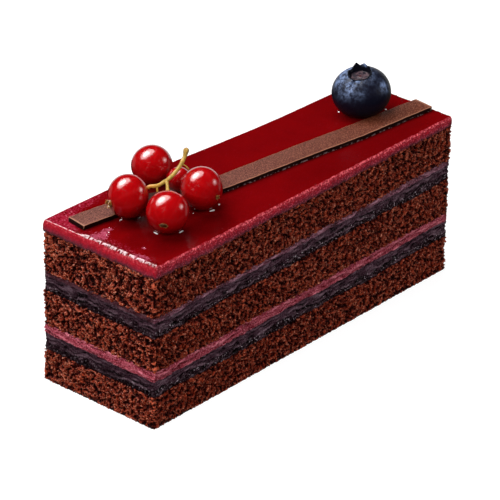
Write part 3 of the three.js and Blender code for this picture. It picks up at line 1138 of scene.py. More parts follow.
def crumb_tree() -> Tree:
    """Builds the tree that turns a block's sides into open crumb of curling strands.

    Returns:
        A geometry group. Sizes are in millimetres.
    """
    sheet, source, result = shape_tree("Crumb", {
        "Strand Spacing": Kind.NUMBER, "Strand Width": Kind.NUMBER, "Depth": Kind.NUMBER,
        "Proud": Kind.NUMBER, "Start": Kind.VECTOR})
    place = sheet.vector("ADD", sheet.position(), source["Start"])
    frequency = sheet.math("DIVIDE", 0.8, source["Strand Spacing"])
    width = sheet.math("DIVIDE", source["Strand Width"], source["Strand Spacing"])

    def drawn(strands: Strands) -> Value:
        """Draws strands along the level lines of a noise.

        Args:
            strands: the set to draw.

        Returns:
            A mask's socket: 1 along the strands, 0 between them.
        """
        moved = sheet.vector("ADD", place, strands.shift)
        value = sheet.noise(moved, sheet.times(frequency, strands.finer), 1.0, 0.35)
        away = sheet.math("ABSOLUTE", sheet.centred(value))
        edge = sheet.times(width, 0.24 * strands.thicker)
        return sheet.ease(away, sheet.times(edge, 0.2), edge, 1.0, 0.0)

    broken = sheet.ease(sheet.noise(place, 0.8, 1.0), 0.36, 0.5, 0.45, 1.0)
    surface = sheet.math("MAXIMUM", drawn(FIRST_STRANDS), sheet.times(drawn(SECOND_STRANDS), 0.9))
    front = sheet.math("MAXIMUM", sheet.times(surface, broken), sheet.times(drawn(DEEP_STRANDS), 0.62))
    knots = sheet.ease(sheet.noise(sheet.vector("ADD", place, KNOT_SHIFT), 1.4, 1.0), 0.62, 0.74)
    front = sheet.math("MAXIMUM", front, sheet.times(knots, 0.9))
    grit = sheet.centred(sheet.noise(place, 3.2, 2.0))
    wave = sheet.centred(sheet.noise(place, 0.22, 1.0))
    back = sheet.times(sheet.math("SUBTRACT", 1.0, front), source["Depth"])
    metres = sheet.node("GeometryNodeInputPosition").outputs[0]
    height = sheet.node("ShaderNodeSeparateXYZ", {0: metres}).outputs[2]
    pressed = sheet.ease(height, 0.0, PRESSED_HEIGHT * MM, 0.3, 1.0)
    rough = sheet.math("SUBTRACT", sheet.times(grit, 0.3), back)
    rough = sheet.plus(rough, sheet.times(wave, 0.35))
    lift = sheet.plus(sheet.times(rough, pressed), source["Proud"])
    moved = push_out(sheet, source["Geometry"], "front", front, lift)
    end_tree(sheet, moved, source["Finish"], result)
    return sheet.tree


def smear_tree() -> Tree:
    """Builds the tree that drags a soft layer's sides into streaks along the cut.

    Returns:
        A geometry group. Sizes are in millimetres.
    """
    sheet, source, result = shape_tree("Smear", {
        "Streak Length": Kind.NUMBER, "Streak Height": Kind.NUMBER, "Depth": Kind.NUMBER,
        "Lumps": Kind.NUMBER, "Start": Kind.VECTOR})
    place = sheet.position()
    height = sheet.node("ShaderNodeSeparateXYZ", {0: place}).outputs[2]
    wave = sheet.centred(sheet.noise(place, 0.35, 1.0))
    height = sheet.plus(height, sheet.times(wave, 2.2))
    flat = sheet.node("ShaderNodeCombineXYZ", {
        0: sheet.math("DIVIDE", sheet.stored("run"), source["Streak Length"]),
        1: sheet.math("DIVIDE", height, source["Streak Height"])}).outputs[0]
    flat = sheet.vector("ADD", flat, source["Start"])
    spread = sheet.times(sheet.centred(sheet.noise(flat, 1.0, 4.0, 0.6)), 2.1)
    streak = sheet.math("ADD", spread, 0.5, clamp=True)
    lumps = sheet.centred(sheet.noise(place, 1.5, 3.0, 0.6))
    lift = sheet.times(sheet.centred(streak), source["Depth"])
    lift = sheet.plus(lift, sheet.times(lumps, source["Lumps"]))
    moved = push_out(sheet, source["Geometry"], "streak", streak, lift)
    end_tree(sheet, moved, source["Finish"], result)
    return sheet.tree


@dataclass
class SpongeLayers:
    """The three chocolate sponges."""

    step: float = 0.172
    spacing: float = 1.06
    strand: float = 0.33
    depth: float = 1.05
    proud: float = 0.36
    finish: SpongeFinish = SpongeFinish()

    def build(self) -> None:
        """Builds and dresses the sponges."""
        tree = crumb_tree()
        material = self.finish.material()
        spans = {
            "sponge_bottom": (BAR.table, BAR.bottom_sponge),
            "sponge_middle": (BAR.pink_cream, BAR.middle_sponge),
            "sponge_top": (BAR.mauve_film, BAR.top_sponge),
        }
        for order, (node, (lower, upper)) in enumerate(spans.items()):
            piece = skin_block(f"{node}_crumb", lower, upper, self.step, 0.0)
            run_tree(piece, tree, {
                "Strand Spacing": self.spacing, "Strand Width": self.strand, "Depth": self.depth,
                "Proud": self.proud, "Start": (order * 37.0, 11.0, order * 5.0), "Finish": material})
            settle(piece, "sponge", node)


@dataclass(frozen=True)
class SmearSpec:
    """One soft layer: its node, slot, levels, set-back, height of its lumps, and material."""

    node: str
    slot: str
    lower: Level
    upper: Level
    set_back: float
    lumps: float
    material: Material


@dataclass
class SoftLayers:
    """The dark fillings, the pink cream and the mauve film."""

    step: float = 0.2
    streak_length: float = 5.0
    streak_height: float = 0.62
    depth: float = 0.7
    dark: SmearFinish = SmearFinish(
        "dark_filling", body=(0.006, 0.0011, 0.0021), streak=(0.15, 0.088, 0.112),
        shade=(0.001, 0.0001, 0.0002), high=(0.054, 0.022, 0.034), glint=(0.5, 0.42, 0.46),
        glints=0.9, grain=2.2, roughness=0.34, contrast=3.4, end_shade=0.34, speckle=0.45,
        specular=0.12, sink=0.7)
    pink: SmearFinish = SmearFinish("pink_cream", body=(0.25, 0.025, 0.043), streak=(0.6, 0.165, 0.21),
        shade=(0.095, 0.003, 0.008), high=(0.27, 0.028, 0.049), grain=3.1, roughness=0.42,
        contrast=4.6, specular=0.14)
    mauve: SmearFinish = SmearFinish("mauve_film", body=(0.17, 0.05, 0.08), streak=(0.4, 0.19, 0.25),
        shade=(0.03, 0.0045, 0.007), high=(0.14, 0.038, 0.054), glint=(0.4, 0.3, 0.35),
        glints=0.3, grain=2.8, roughness=0.42, contrast=3.8, end_shade=0.78, specular=0.25)

    def build(self) -> None:
        """Builds and dresses the soft layers."""
        tree = smear_tree()
        dark, pink, mauve = (finish.material() for finish in (self.dark, self.pink, self.mauve))
        specs = (
            SmearSpec("filling_lower", "filling", BAR.bottom_sponge, BAR.lower_filling, 0.15, 0.45, dark),
            SmearSpec("cream_pink", "pink_cream", BAR.lower_filling, BAR.pink_cream, -0.1, 0.6, pink),
            SmearSpec("filling_upper", "filling", BAR.middle_sponge, BAR.upper_filling, 0.15, 0.45, dark),
            SmearSpec("film_mauve", "mauve_film", BAR.upper_filling, BAR.mauve_film, 0.0, 0.5, mauve))
        for order, spec in enumerate(specs):
            piece = skin_block(f"{spec.node}_smear", spec.lower, spec.upper, self.step, spec.set_back)
            run_tree(piece, tree, {
                "Streak Length": self.streak_length, "Streak Height": self.streak_height,
                "Depth": self.depth, "Lumps": spec.lumps, "Start": (order * 13.0, 3.0, order * 2.0),
                "Finish": spec.material})
            settle(piece, spec.slot, spec.node)


# ---- Where the berries and the strip lie ----


@dataclass(frozen=True)
class CurrantSpec:
    """One currant: its node, middle, radius and stretch along Z, and the way of its flower end.

    flower is the flower end's radius as a share of the berry's, tall its height, and flat how much
    it is flattened along Z. shade is how far up the berry its underside's shade goes.
    """

    node: str
    middle: Place
    radius: float
    stretch: float
    pole: Place
    flower: float = 0.2
    tall: float = 0.9
    shade: float = 0.15
    flat: float = 1.0


CURRANTS = (
    CurrantSpec("currant_1", (-40.28, 3.13, 48.0), 4.75, 1.09, (-0.934, 0.327, -0.144),
                flower=0.22, tall=0.85),
    CurrantSpec("currant_2", (-38.51, -7.47, 46.98), 4.95, 1.0, (-0.84, -0.51, -0.2),
                flower=0.24, tall=0.3, flat=0.55),
    CurrantSpec("currant_3", (-24.75, -5.55, 47.22), 4.85, 1.07, (0.01, -0.99, -0.1),
                flower=0.1, tall=0.5),
    CurrantSpec("currant_4", (-23.16, 11.39, 46.83), 4.8, 1.0, (0.7, 0.7, -0.1), tall=0.7),
    CurrantSpec("currant_5", (-23.6, 2.5, 46.3), 2.95, 1.0, (1.0, 0.0, 0.1), tall=0.5, shade=0.9),
)
BLUEBERRY_MIDDLE = (39.02, -0.5, 47.98)
BLUEBERRY_RADIUS = 7.25
BLUEBERRY_HALF_HEIGHT = 5.95


@dataclass
class Strip:
    """The flat chocolate strip that lies across the glaze, bending sideways under the currants.

    Each row of the route is a point of its middle line with its width there. A trim says how far in
    from the end a section stands and how far it is drawn in, as shares of the edge's radius. A spot
    of painted shade lies on it between the currants.
    """

    route: tuple[Place, ...] = (
        (-50.87, 9.55, 5.6), (-46, 8.85, 5.6), (-40.5, 7.95, 5.6), (-36, 6.75, 5.6),
        (-31.5, 4.95, 5.65), (-26.5, 2.55, 5.75), (-21.5, 0.45, 5.8), (-16.5, -0.95, 5.85),
        (-10.8, -1.87, 5.9), (1.8, -3.4, 6), (14.6, -4.95, 6.15), (27.2, -6.75, 6.2),
        (33.9, -7.5, 6.05), (43.9, -8.45, 5.8), (52.5, -9.35, 5.6))
    thickness: float = 1.3
    edge: float = 0.16
    trims: tuple[Span, ...] = ((0.0, 1.0), (0.3, 0.3))
    shadow_depth: float = 0.8
    shadow_reach: float = 0.9
    shade_spot: float = -29.5
    shade_reach: float = 4.5
    shade_depth: float = 0.85
    finish: ChocolateFinish = ChocolateFinish()

    def line(self) -> tuple[Array, Array]:
        """Walks along the middle of the strip.

        Returns:
            The stops with the strip's width at each, and the way across it there.
        """
        stops = smooth_route(np.array(self.route), 10)
        way = unit_rows(np.gradient(stops[:, :2], axis=0))
        return stops, np.column_stack([-way[:, 1], way[:, 0]])

    def gap(self, x: Array, y: Array) -> Array:
        """Measures how far points of the plan are from the strip's outline.

        Args:
            x: places along the bar.
            y: places across it.

        Returns:
            The distances, 0 under the strip.
        """
        stops, across = self.line()
        middle = np.interp(x, stops[:, 0], stops[:, 1])
        lean = np.interp(x, stops[:, 0], across[:, 1])
        half = np.interp(x, stops[:, 0], stops[:, 2]) / 2
        aside = np.maximum(np.abs(y - middle) * lean - half, 0)
        past = np.maximum(np.maximum(stops[0, 0] - x, x - stops[-1, 0]), 0)
        return np.hypot(aside, past)

    def shadow(self, x: Array, y: Array) -> Array:
        """Measures how deep points of the plan lie in the painted shadow along the strip's front.

        Args:
            x: places along the bar.
            y: places across it.

        Returns:
            The depth at each place, from 0 to 1.
        """
        stops, _ = self.line()
        ahead = y < np.interp(x, stops[:, 0], stops[:, 1])
        return np.where(ahead, self.shadow_depth * np.exp(-self.gap(x, y) / self.shadow_reach), 0.0)

    def sections(self) -> list[tuple]:
        """Places the strip's cross-sections, two of them drawn in at each end to round it off.

        Returns:
            For each section its stop, the way across, its shift, and how far it is drawn in.
        """
        stops, normals = self.line()
        first, last = unit_rows(np.diff(stops[:, :2], axis=0)[[0, -1]])
        placed = [(stops[0], normals[0], first * self.edge * at, self.edge * pull)
                  for at, pull in self.trims]
        placed += [(stop, normal, np.zeros(2), 0.0) for stop, normal in zip(stops[1:-1], normals[1:-1])]
        placed += [(stops[-1], normals[-1], -last * self.edge * at, self.edge * pull)
                   for at, pull in reversed(self.trims)]
        return placed

    def build(self) -> None:
        """Builds and dresses the strip: rounded sections lofted along its route."""
        sections = self.sections()
        final = len(sections) - 1
        # Each corner of a section: its side, whether it is low or high, and where its arc starts.
        corners = ((1, 0, -90), (1, 1, 0), (-1, 1, 90), (-1, 0, 180))
        turns = np.linspace(0, 90, 4)
        points, edges, flanks, feet, shares = [], [], [], [], []
        for order, (stop, normal, shift, pull) in enumerate(sections):
            half = stop[2] / 2 + 0.04 * math.sin(order * 0.9) + 0.03 * math.sin(order * 2.3)
            for side, height, start in corners:
                for turn in turns:
                    angle = math.radians(start + turn)
                    across = side * (half - self.edge - pull) + math.cos(angle) * self.edge
                    level = self.edge + height * (self.thickness - 2 * self.edge)
                    level += math.sin(angle) * self.edge + (0.5 - height) * pull
                    spot = stop[:2] + shift + normal * across
                    points.append((spot[0], spot[1], BAR.top.wide + level))
                    at_end = order in (1, final - 1)
                    on_rim = height == 1 and (at_end or 0.2 < math.sin(angle) < 0.99)
                    edges.append(1.0 if on_rim else 0.0)
                    beside = height == 0 or math.sin(angle) < 0.2 or order in (0, final)
                    flanks.append(1.0 if beside else 0.0)
                    feet.append(1.0 - height)
                    shares.append(order / len(sections))
        points = np.array(points)
        loops = np.arange(len(points)).reshape(len(sections), -1)
        faces = wall_faces(loops, flip=True)
        faces.append(loops[0].tolist())
        faces.append(loops[-1][::-1].tolist())
        piece = new_piece("chocolate_strip_piece", points, faces)
        for name, values in (("edge", edges), ("flank", flanks), ("foot", feet), ("share", shares)):
            store(piece, name, np.array(values))
        # Painted shade on the strip between the currants.
        store(piece, "shaded", self.shade_depth * bell(points[:, 0] - self.shade_spot, self.shade_reach))
        piece.data.materials.append(self.finish.material())
        settle(piece, "chocolate", "chocolate_strip")


# ---- Glaze ----


@dataclass(frozen=True)
class Dab:
    """A spot of the glaze's top: its place, reach along and across, and strength."""

    x: float
    y: float
    along: float
    across: float
    strength: float = 1.0

    def amount(self, x: Array, y: Array) -> Array:
        """How strongly the spot covers points of the plan, from 0 to its strength."""
        far = ((x - self.x) / self.along) ** 2 + ((y - self.y) / self.across) ** 2
        return self.strength * np.clip(1.25 - far, 0, 1)


@dataclass
class Glaze:
    """The red glaze: a mirror-smooth top, crumpled cut edges, and rims where it climbs.

    Beyond thin_from across the bar the slope of the wide end is only thin_slope wide.
    """

    fine: float = 0.13
    coarse: float = 0.25
    fine_band: float = 2.4
    edge_radius: float = 0.3
    end_slope: float = 0.98
    end_bead: float = 0.3
    side_slope: float = 0.5
    thin_from: float = 5.5
    thin_slope: float = 0.36
    wall_swell: float = 0.22
    wall_rows: int = 12
    climb: float = 0.55
    climb_reach: float = 0.4
    # The hazy spots are rougher and carry painted glare, the next spots painted red reflection.
    haze_glare: tuple[Dab, ...] = (Dab(-50.8, 2.2, 2.6, 2.3, 0.9), Dab(-47.7, 3.0, 2.4, 1.1, 0.8),
        Dab(-51.9, -11.8, 1.7, 2.8, 0.68), Dab(-47.9, -8.9, 0.9, 0.7, 0.6))
    red_glare: tuple[Dab, ...] = (Dab(-52.5, 13.0, 9.0, 6.5, 0.7), Dab(-46.0, 16.5, 14.0, 3.0, 0.6),
        Dab(-52.5, -3.0, 3.5, 15.0, 0.4))
    # These spots carry painted shade.
    dim: tuple[Dab, ...] = (Dab(-41.5, -12.0, 8.5, 5.0, 0.6), Dab(-29.5, -13.0, 7.0, 5.0, 0.85),
        Dab(-33.0, -1.0, 9.0, 7.0, 0.7), Dab(-45.5, -6.0, 5.5, 4.0, 0.45),
        Dab(25.0, -13.0, 30.0, 9.0, 0.34))
    finish: GlazeFinish = GlazeFinish()

    def stations(self, length: float) -> Array:
        """Spaces places along a side, closer together near both ends.

        Args:
            length: the side's length.

        Returns:
            The places, from 0 to the length.
        """
        band = np.arange(0, self.fine_band, self.fine)
        middle = np.linspace(self.fine_band, length - self.fine_band,
                             int((length - 2 * self.fine_band) / self.coarse))
        return np.concatenate([band, middle, length - band[::-1]])

    def edge_drop(self, x: Array, y: Array) -> Array:
        """Measures how far the top falls towards the four cut edges.

        Args:
            x: places along the bar.
            y: places across it.

        Returns:
            The drop at each place.
        """
        wide, narrow, front, back = BAR.gaps(x, y)
        near = np.clip(np.minimum.reduce([wide, narrow, front, back]), 0, self.edge_radius)
        drop = self.edge_radius - np.sqrt(self.edge_radius**2 - (self.edge_radius - near) ** 2)
        # The wide end slopes down in lumps, with notches between them and a bead behind them.
        thin = 1 / (1 + np.exp((y - self.thin_from) / 0.4))
        lumps = 0.85 + 0.3 * grain(y, 0 * y, 0.9, 5)
        reach = self.thin_slope + (self.end_slope - self.thin_slope) * thin * lumps
        notch = np.clip((np.abs(grain(y, 0 * y, 0.95, 8)) - 0.1) / 0.12, 0, 1)
        tilt = 0.55 + 0.16 * grain(x, y, 0.6, 11) - 0.42 * (1 - notch)
        drop += tilt * np.clip(reach - wide, 0, None)
        drop -= self.end_bead * thin * bell(wide - self.end_slope, 0.8)
        # The front, the back and the narrow end are only crumpled.
        bumps = 0.5 + 0.5 * grain(x, 0 * x, 1.1, 21)
        reach = self.side_slope * (0.35 + 0.9 * bumps)
        drop += (0.45 + 0.3 * grain(x, y, 0.6, 23)) * np.clip(reach - front, 0, None)
        drop += 0.1 * (0.5 + 0.5 * grain(x, 0 * x, 1.0, 27)) * np.clip(0.6 - back, 0, None)
        drop += (0.25 + 0.25 * grain(y, 0 * y, 0.9, 29)) * np.clip(0.5 - narrow, 0, None)
        return drop

    def berry_rise(self, x: Array, y: Array, middle: Place, radius: float, half_height: float) -> Array:
        """Measures how far the glaze climbs round one berry, without reaching into it.

        Args:
            x: places along the bar.
            y: places across it.
            middle: the berry's middle.
            radius: its radius.
            half_height: half its height.

        Returns:
            The rise at each place.
        """
        reach = np.hypot(x - middle[0], y - middle[1])
        clear = middle[2] - half_height - BAR.top.wide
        share = np.clip(1 - (self.climb - clear) / half_height, 0, 1)
        contact = radius * math.sqrt(1 - share**2) if clear < self.climb else 1.2
        under = clear + half_height * (1 - np.sqrt(np.clip(1 - (reach / radius) ** 2, 0, 1)))
        uneven = 1 + 0.25 * grain(x, y, 1.6, 37)
        rise = self.climb * uneven * np.exp(-np.maximum(reach - contact, 0) / self.climb_reach)
        return np.minimum(rise, np.where(reach < radius, under - 0.02, rise)).clip(0)

    def surface(self, x: Array, y: Array, strip: Strip) -> Array:
        """Measures the height of the glaze's top.

        Args:
            x: places along the bar.
            y: places across it.
            strip: the chocolate strip that lies on it.

        Returns:
            The height at each place.
        """
        z = BAR.top.wide - self.edge_drop(x, y)
        z += 0.03 * grain(x, y, 9.0, 31) + 0.01 * grain(x, y, 3.2, 33)
        for spec in CURRANTS:
            z += self.berry_rise(x, y, spec.middle, spec.radius, spec.radius * spec.stretch)
        z += self.berry_rise(x, y, BLUEBERRY_MIDDLE, BLUEBERRY_RADIUS, BLUEBERRY_HALF_HEIGHT)
        z += (0.05 + 0.08 * grain(x, y, 0.9, 39)) * np.exp(-strip.gap(x, y) / 0.3)
        return z

    def wall(self, rim: Array) -> list[Array]:
        """Builds the rows of the cut face, from under the rim down to the sponge.

        Args:
            rim: the points round the edge of the top.

        Returns:
            One table of points for each row.
        """
        tangent = unit_rows(np.roll(rim, -1, axis=0)[:, :2] - np.roll(rim, 1, axis=0)[:, :2])
        outward = np.column_stack([tangent[:, 1], -tangent[:, 0]])
        run = np.cumsum(np.linalg.norm(np.diff(rim, axis=0, prepend=rim[:1])[:, :2], axis=1))
        base = BAR.height(BAR.top_sponge, rim[:, 0], rim[:, 1]) - 0.15 + 0.25 * grain(
            run, 0 * run, 1.4, 41)
        rows = []
        for row in range(1, self.wall_rows + 1):
            share = row / self.wall_rows
            z = rim[:, 2] + (base - rim[:, 2]) * share
            swell = self.wall_swell * min(1, share * 3) * min(1, (1 - share) * 4 + 0.2)
            out = swell * (0.75 + 0.6 * grain(run, z, 0.9, 43) + 0.3 * grain(run, z, 0.45, 45))
            rows.append(np.column_stack([rim[:, :2] + outward * out[:, None], z]))
        return rows

    def build(self, strip: Strip) -> None:
        """Builds and dresses the glaze.

        Args:
            strip: the chocolate strip that lies on it.
        """
        xs = self.stations(BAR.length) - BAR.length / 2
        ys = self.stations(BAR.wide_end) / BAR.wide_end
        grid_x = np.repeat(xs, len(ys)).reshape(len(xs), len(ys))
        grid_y = ys[None, :] * (BAR.back(grid_x) + BAR.wide_end / 2) - BAR.wide_end / 2
        top = np.column_stack([grid_x.ravel(), grid_y.ravel(),
                               self.surface(grid_x, grid_y, strip).ravel()])
        index = np.arange(len(top)).reshape(grid_x.shape)
        faces = np.column_stack([index[:-1, :-1].ravel(), index[1:, :-1].ravel(),
                                 index[1:, 1:].ravel(), index[:-1, 1:].ravel()]).tolist()
        loop = np.concatenate([index[:-1, 0], index[-1, :-1], index[:0:-1, -1], index[0, :0:-1]])
        rows = self.wall(top[loop])
        below = len(top) + np.arange(len(rows) * len(loop)).reshape(len(rows), len(loop))
        faces += wall_faces(np.vstack([loop, below]), flip=True)
        faces.append(below[-1][::-1].tolist())
        points = np.concatenate([top, *rows])
        piece = new_piece("glaze_skin", points, faces)
        self.store_masks(piece, points, len(top), strip)
        piece.data.materials.append(self.finish.material())
        settle(piece, "glaze", "glaze")

    def store_masks(self, piece: Piece, points: Array, on_top: int, strip: Strip) -> None:
        """Stores what the finish reads.

        Args:
            piece: the glaze.
            points: its points.
            on_top: how many of them, from the first, make its top.
            strip: the chocolate strip that lies on it.
        """
        x, y = points[:, 0], points[:, 1]
        gaps = BAR.gaps(x, y)
        is_top = np.arange(len(points)) < on_top
        shares = np.repeat(np.arange(1, self.wall_rows + 1) / self.wall_rows,
                           (len(points) - on_top) // self.wall_rows)
        store(piece, "cut", np.clip(1.15 - np.minimum.reduce(gaps) / 0.28, 0, 1))
        store(piece, "torn", np.clip(gaps[0] / 0.8, 0.22, 1))
        store(piece, "slope", np.clip(1.8 - gaps[0], 0, 1) * is_top)
        store(piece, "depth", np.concatenate([np.zeros(on_top), shares]))
        for name, dabs in (("haze_glare", self.haze_glare), ("red_glare", self.red_glare), ("dim", self.dim)):
            amounts = [dab.amount(x, y) for dab in dabs]
            # The strip's painted shadow joins the painted shade.
            if name == "dim":
                amounts.append(strip.shadow(x, y))
            store(piece, name, np.maximum.reduce(amounts))


@dataclass(frozen=True)
class Dash:
    """A flat bead beside a currant, seen as a dash of light.

    berry is the currant's place in CURRANTS, along and across are the dash's shifts from its
    middle along and across the bar, turn is its direction in degrees, and share its size.
    """

    berry: int
    along: float
    across: float
    turn: float
    share: float


@dataclass
class Beads:
    """Small beads and bubbles of glaze along the cut edges and beside the toppings.

    placed holds the place and the radius of each round bead with a place of its own.
    """

    near: float = 0.5
    far: float = 2.6
    density: float = 0.5
    smallest: float = 0.1
    largest: float = 0.24
    seed: int = 4
    placed: tuple[Place, ...] = ((36.2, 4.0, 0.26), (45.1, -3.4, 0.28), (-20.4, -7.2, 0.24),
        (-47.9, -8.9, 0.11), (-46.2, 3.5, 0.1), (-48.0, 2.0, 0.13), (-49.2, 1.5, 0.11))
    dashes: tuple[Dash, ...] = (
        Dash(0, -1.4, 0.72, 0, 0.9), Dash(0, 2.5, -1.3, 15, 0.6), Dash(1, -2.55, 1.2, 264, 0.9),
        Dash(1, 1.94, -2.45, 7, 1.0), Dash(2, 0.79, -2.62, -13, 1.0), Dash(2, -2.87, -0.18, 20, 0.5))
    dash_size: Place = (0.85, 0.17, 0.2)

    def tree(self) -> Tree:
        """Builds the tree that scatters flattened beads over a surface.

        Returns:
            A geometry group. Sizes are in metres.
        """
        sheet, source, result = shape_tree("Beads", {
            "Density": Kind.NUMBER, "Smallest": Kind.NUMBER, "Largest": Kind.NUMBER,
            "Seed": Kind.COUNT})
        density = sheet.times(sheet.stored("thick"), source["Density"])
        spots = sheet.node("GeometryNodeDistributePointsOnFaces", {
            "Mesh": source["Geometry"], "Density": density, "Seed": source["Seed"]},
            distribute_method="RANDOM")
        ball = sheet.node("GeometryNodeMeshIcoSphere", {"Radius": 1.0, "Subdivisions": 2}).outputs[0]
        size = sheet.node("FunctionNodeRandomValue", {
            2: source["Smallest"], 3: source["Largest"], "Seed": source["Seed"]},
            data_type="FLOAT").outputs[1]
        flat = sheet.node("ShaderNodeCombineXYZ",
                          {0: size, 1: size, 2: sheet.times(size, 0.6)}).outputs[0]
        made = sheet.node("GeometryNodeInstanceOnPoints", {
            "Points": spots.outputs["Points"], "Instance": ball, "Scale": flat}).outputs[0]
        smooth = sheet.node("GeometryNodeSetShadeSmooth", {"Geometry": made}).outputs[0]
        end_tree(sheet, smooth, source["Finish"], result)
        return sheet.tree

    def build(self, glaze: Glaze, strip: Strip) -> None:
        """Builds and dresses the beads.

        Args:
            glaze: the glaze they sit on.
            strip: the chocolate strip that lies on it.
        """
        plan, outward = BAR.outline(1.0)
        rows, count = 4, len(plan)
        shares = np.linspace(self.near, self.far, rows)
        spots = np.concatenate([plan - outward * share for share in shares])
        z = glaze.surface(spots[:, 0], spots[:, 1], strip) + 0.02
        faces = wall_faces(np.arange(rows * count).reshape(rows, count))
        piece = new_piece("glaze_beads", np.column_stack([spots, z]), faces)
        near_end = np.exp(-np.maximum(spots[:, 0] + BAR.length / 2, 0) / 3)
        inward = np.repeat(np.linspace(1, 0.15, rows), count)
        store(piece, "thick", (0.3 + near_end) * inward)
        run_tree(piece, self.tree(), {"Density": self.density / MM**2, "Smallest": self.smallest * MM,
            "Largest": self.largest * MM, "Seed": self.seed, "Finish": glaze.finish.material()})
        self.add_placed(piece, glaze, strip)
        settle(piece, "glaze")

    def add_placed(self, piece: Piece, glaze: Glaze, strip: Strip) -> None:
        """Adds the beads that have places of their own, round ones and dashes beside the currants.

        Args:
            piece: the scattered beads.
            glaze: the glaze they sit on.
            strip: the chocolate strip that lies on it.
        """
        mesh = bmesh.new()
        mesh.from_mesh(piece.data)

        def add(x: float, y: float, size: float, shape: Matrix) -> None:
            """Adds a ball where the glaze is.

            Args:
                x: its place along the bar.
                y: its place across it.
                size: its radius in metres.
                shape: the matrix that turns and flattens it.
            """
            z = float(glaze.surface(np.array([x]), np.array([y]), strip)[0])
            place = Matrix.Translation(Vector((x, y, z)) * MM) @ shape
            bmesh.ops.create_icosphere(mesh, subdivisions=3, radius=size, matrix=place)

        for x, y, radius in self.placed:
            add(x, y, radius * MM, Matrix.Diagonal((1, 1, 0.7, 1)))
        for dash in self.dashes:
            middle = CURRANTS[dash.berry].middle
            turn = Matrix.Rotation(math.radians(dash.turn), 4, "Z")
            size = Matrix.Diagonal((*(dash.share * side for side in self.dash_size), 1))
            add(middle[0] + dash.along, middle[1] + dash.across, MM, turn @ size)
        for face in mesh.faces:
            face.smooth = True
        mesh.to_mesh(piece.data)
        mesh.free()


# ---- Currants ----


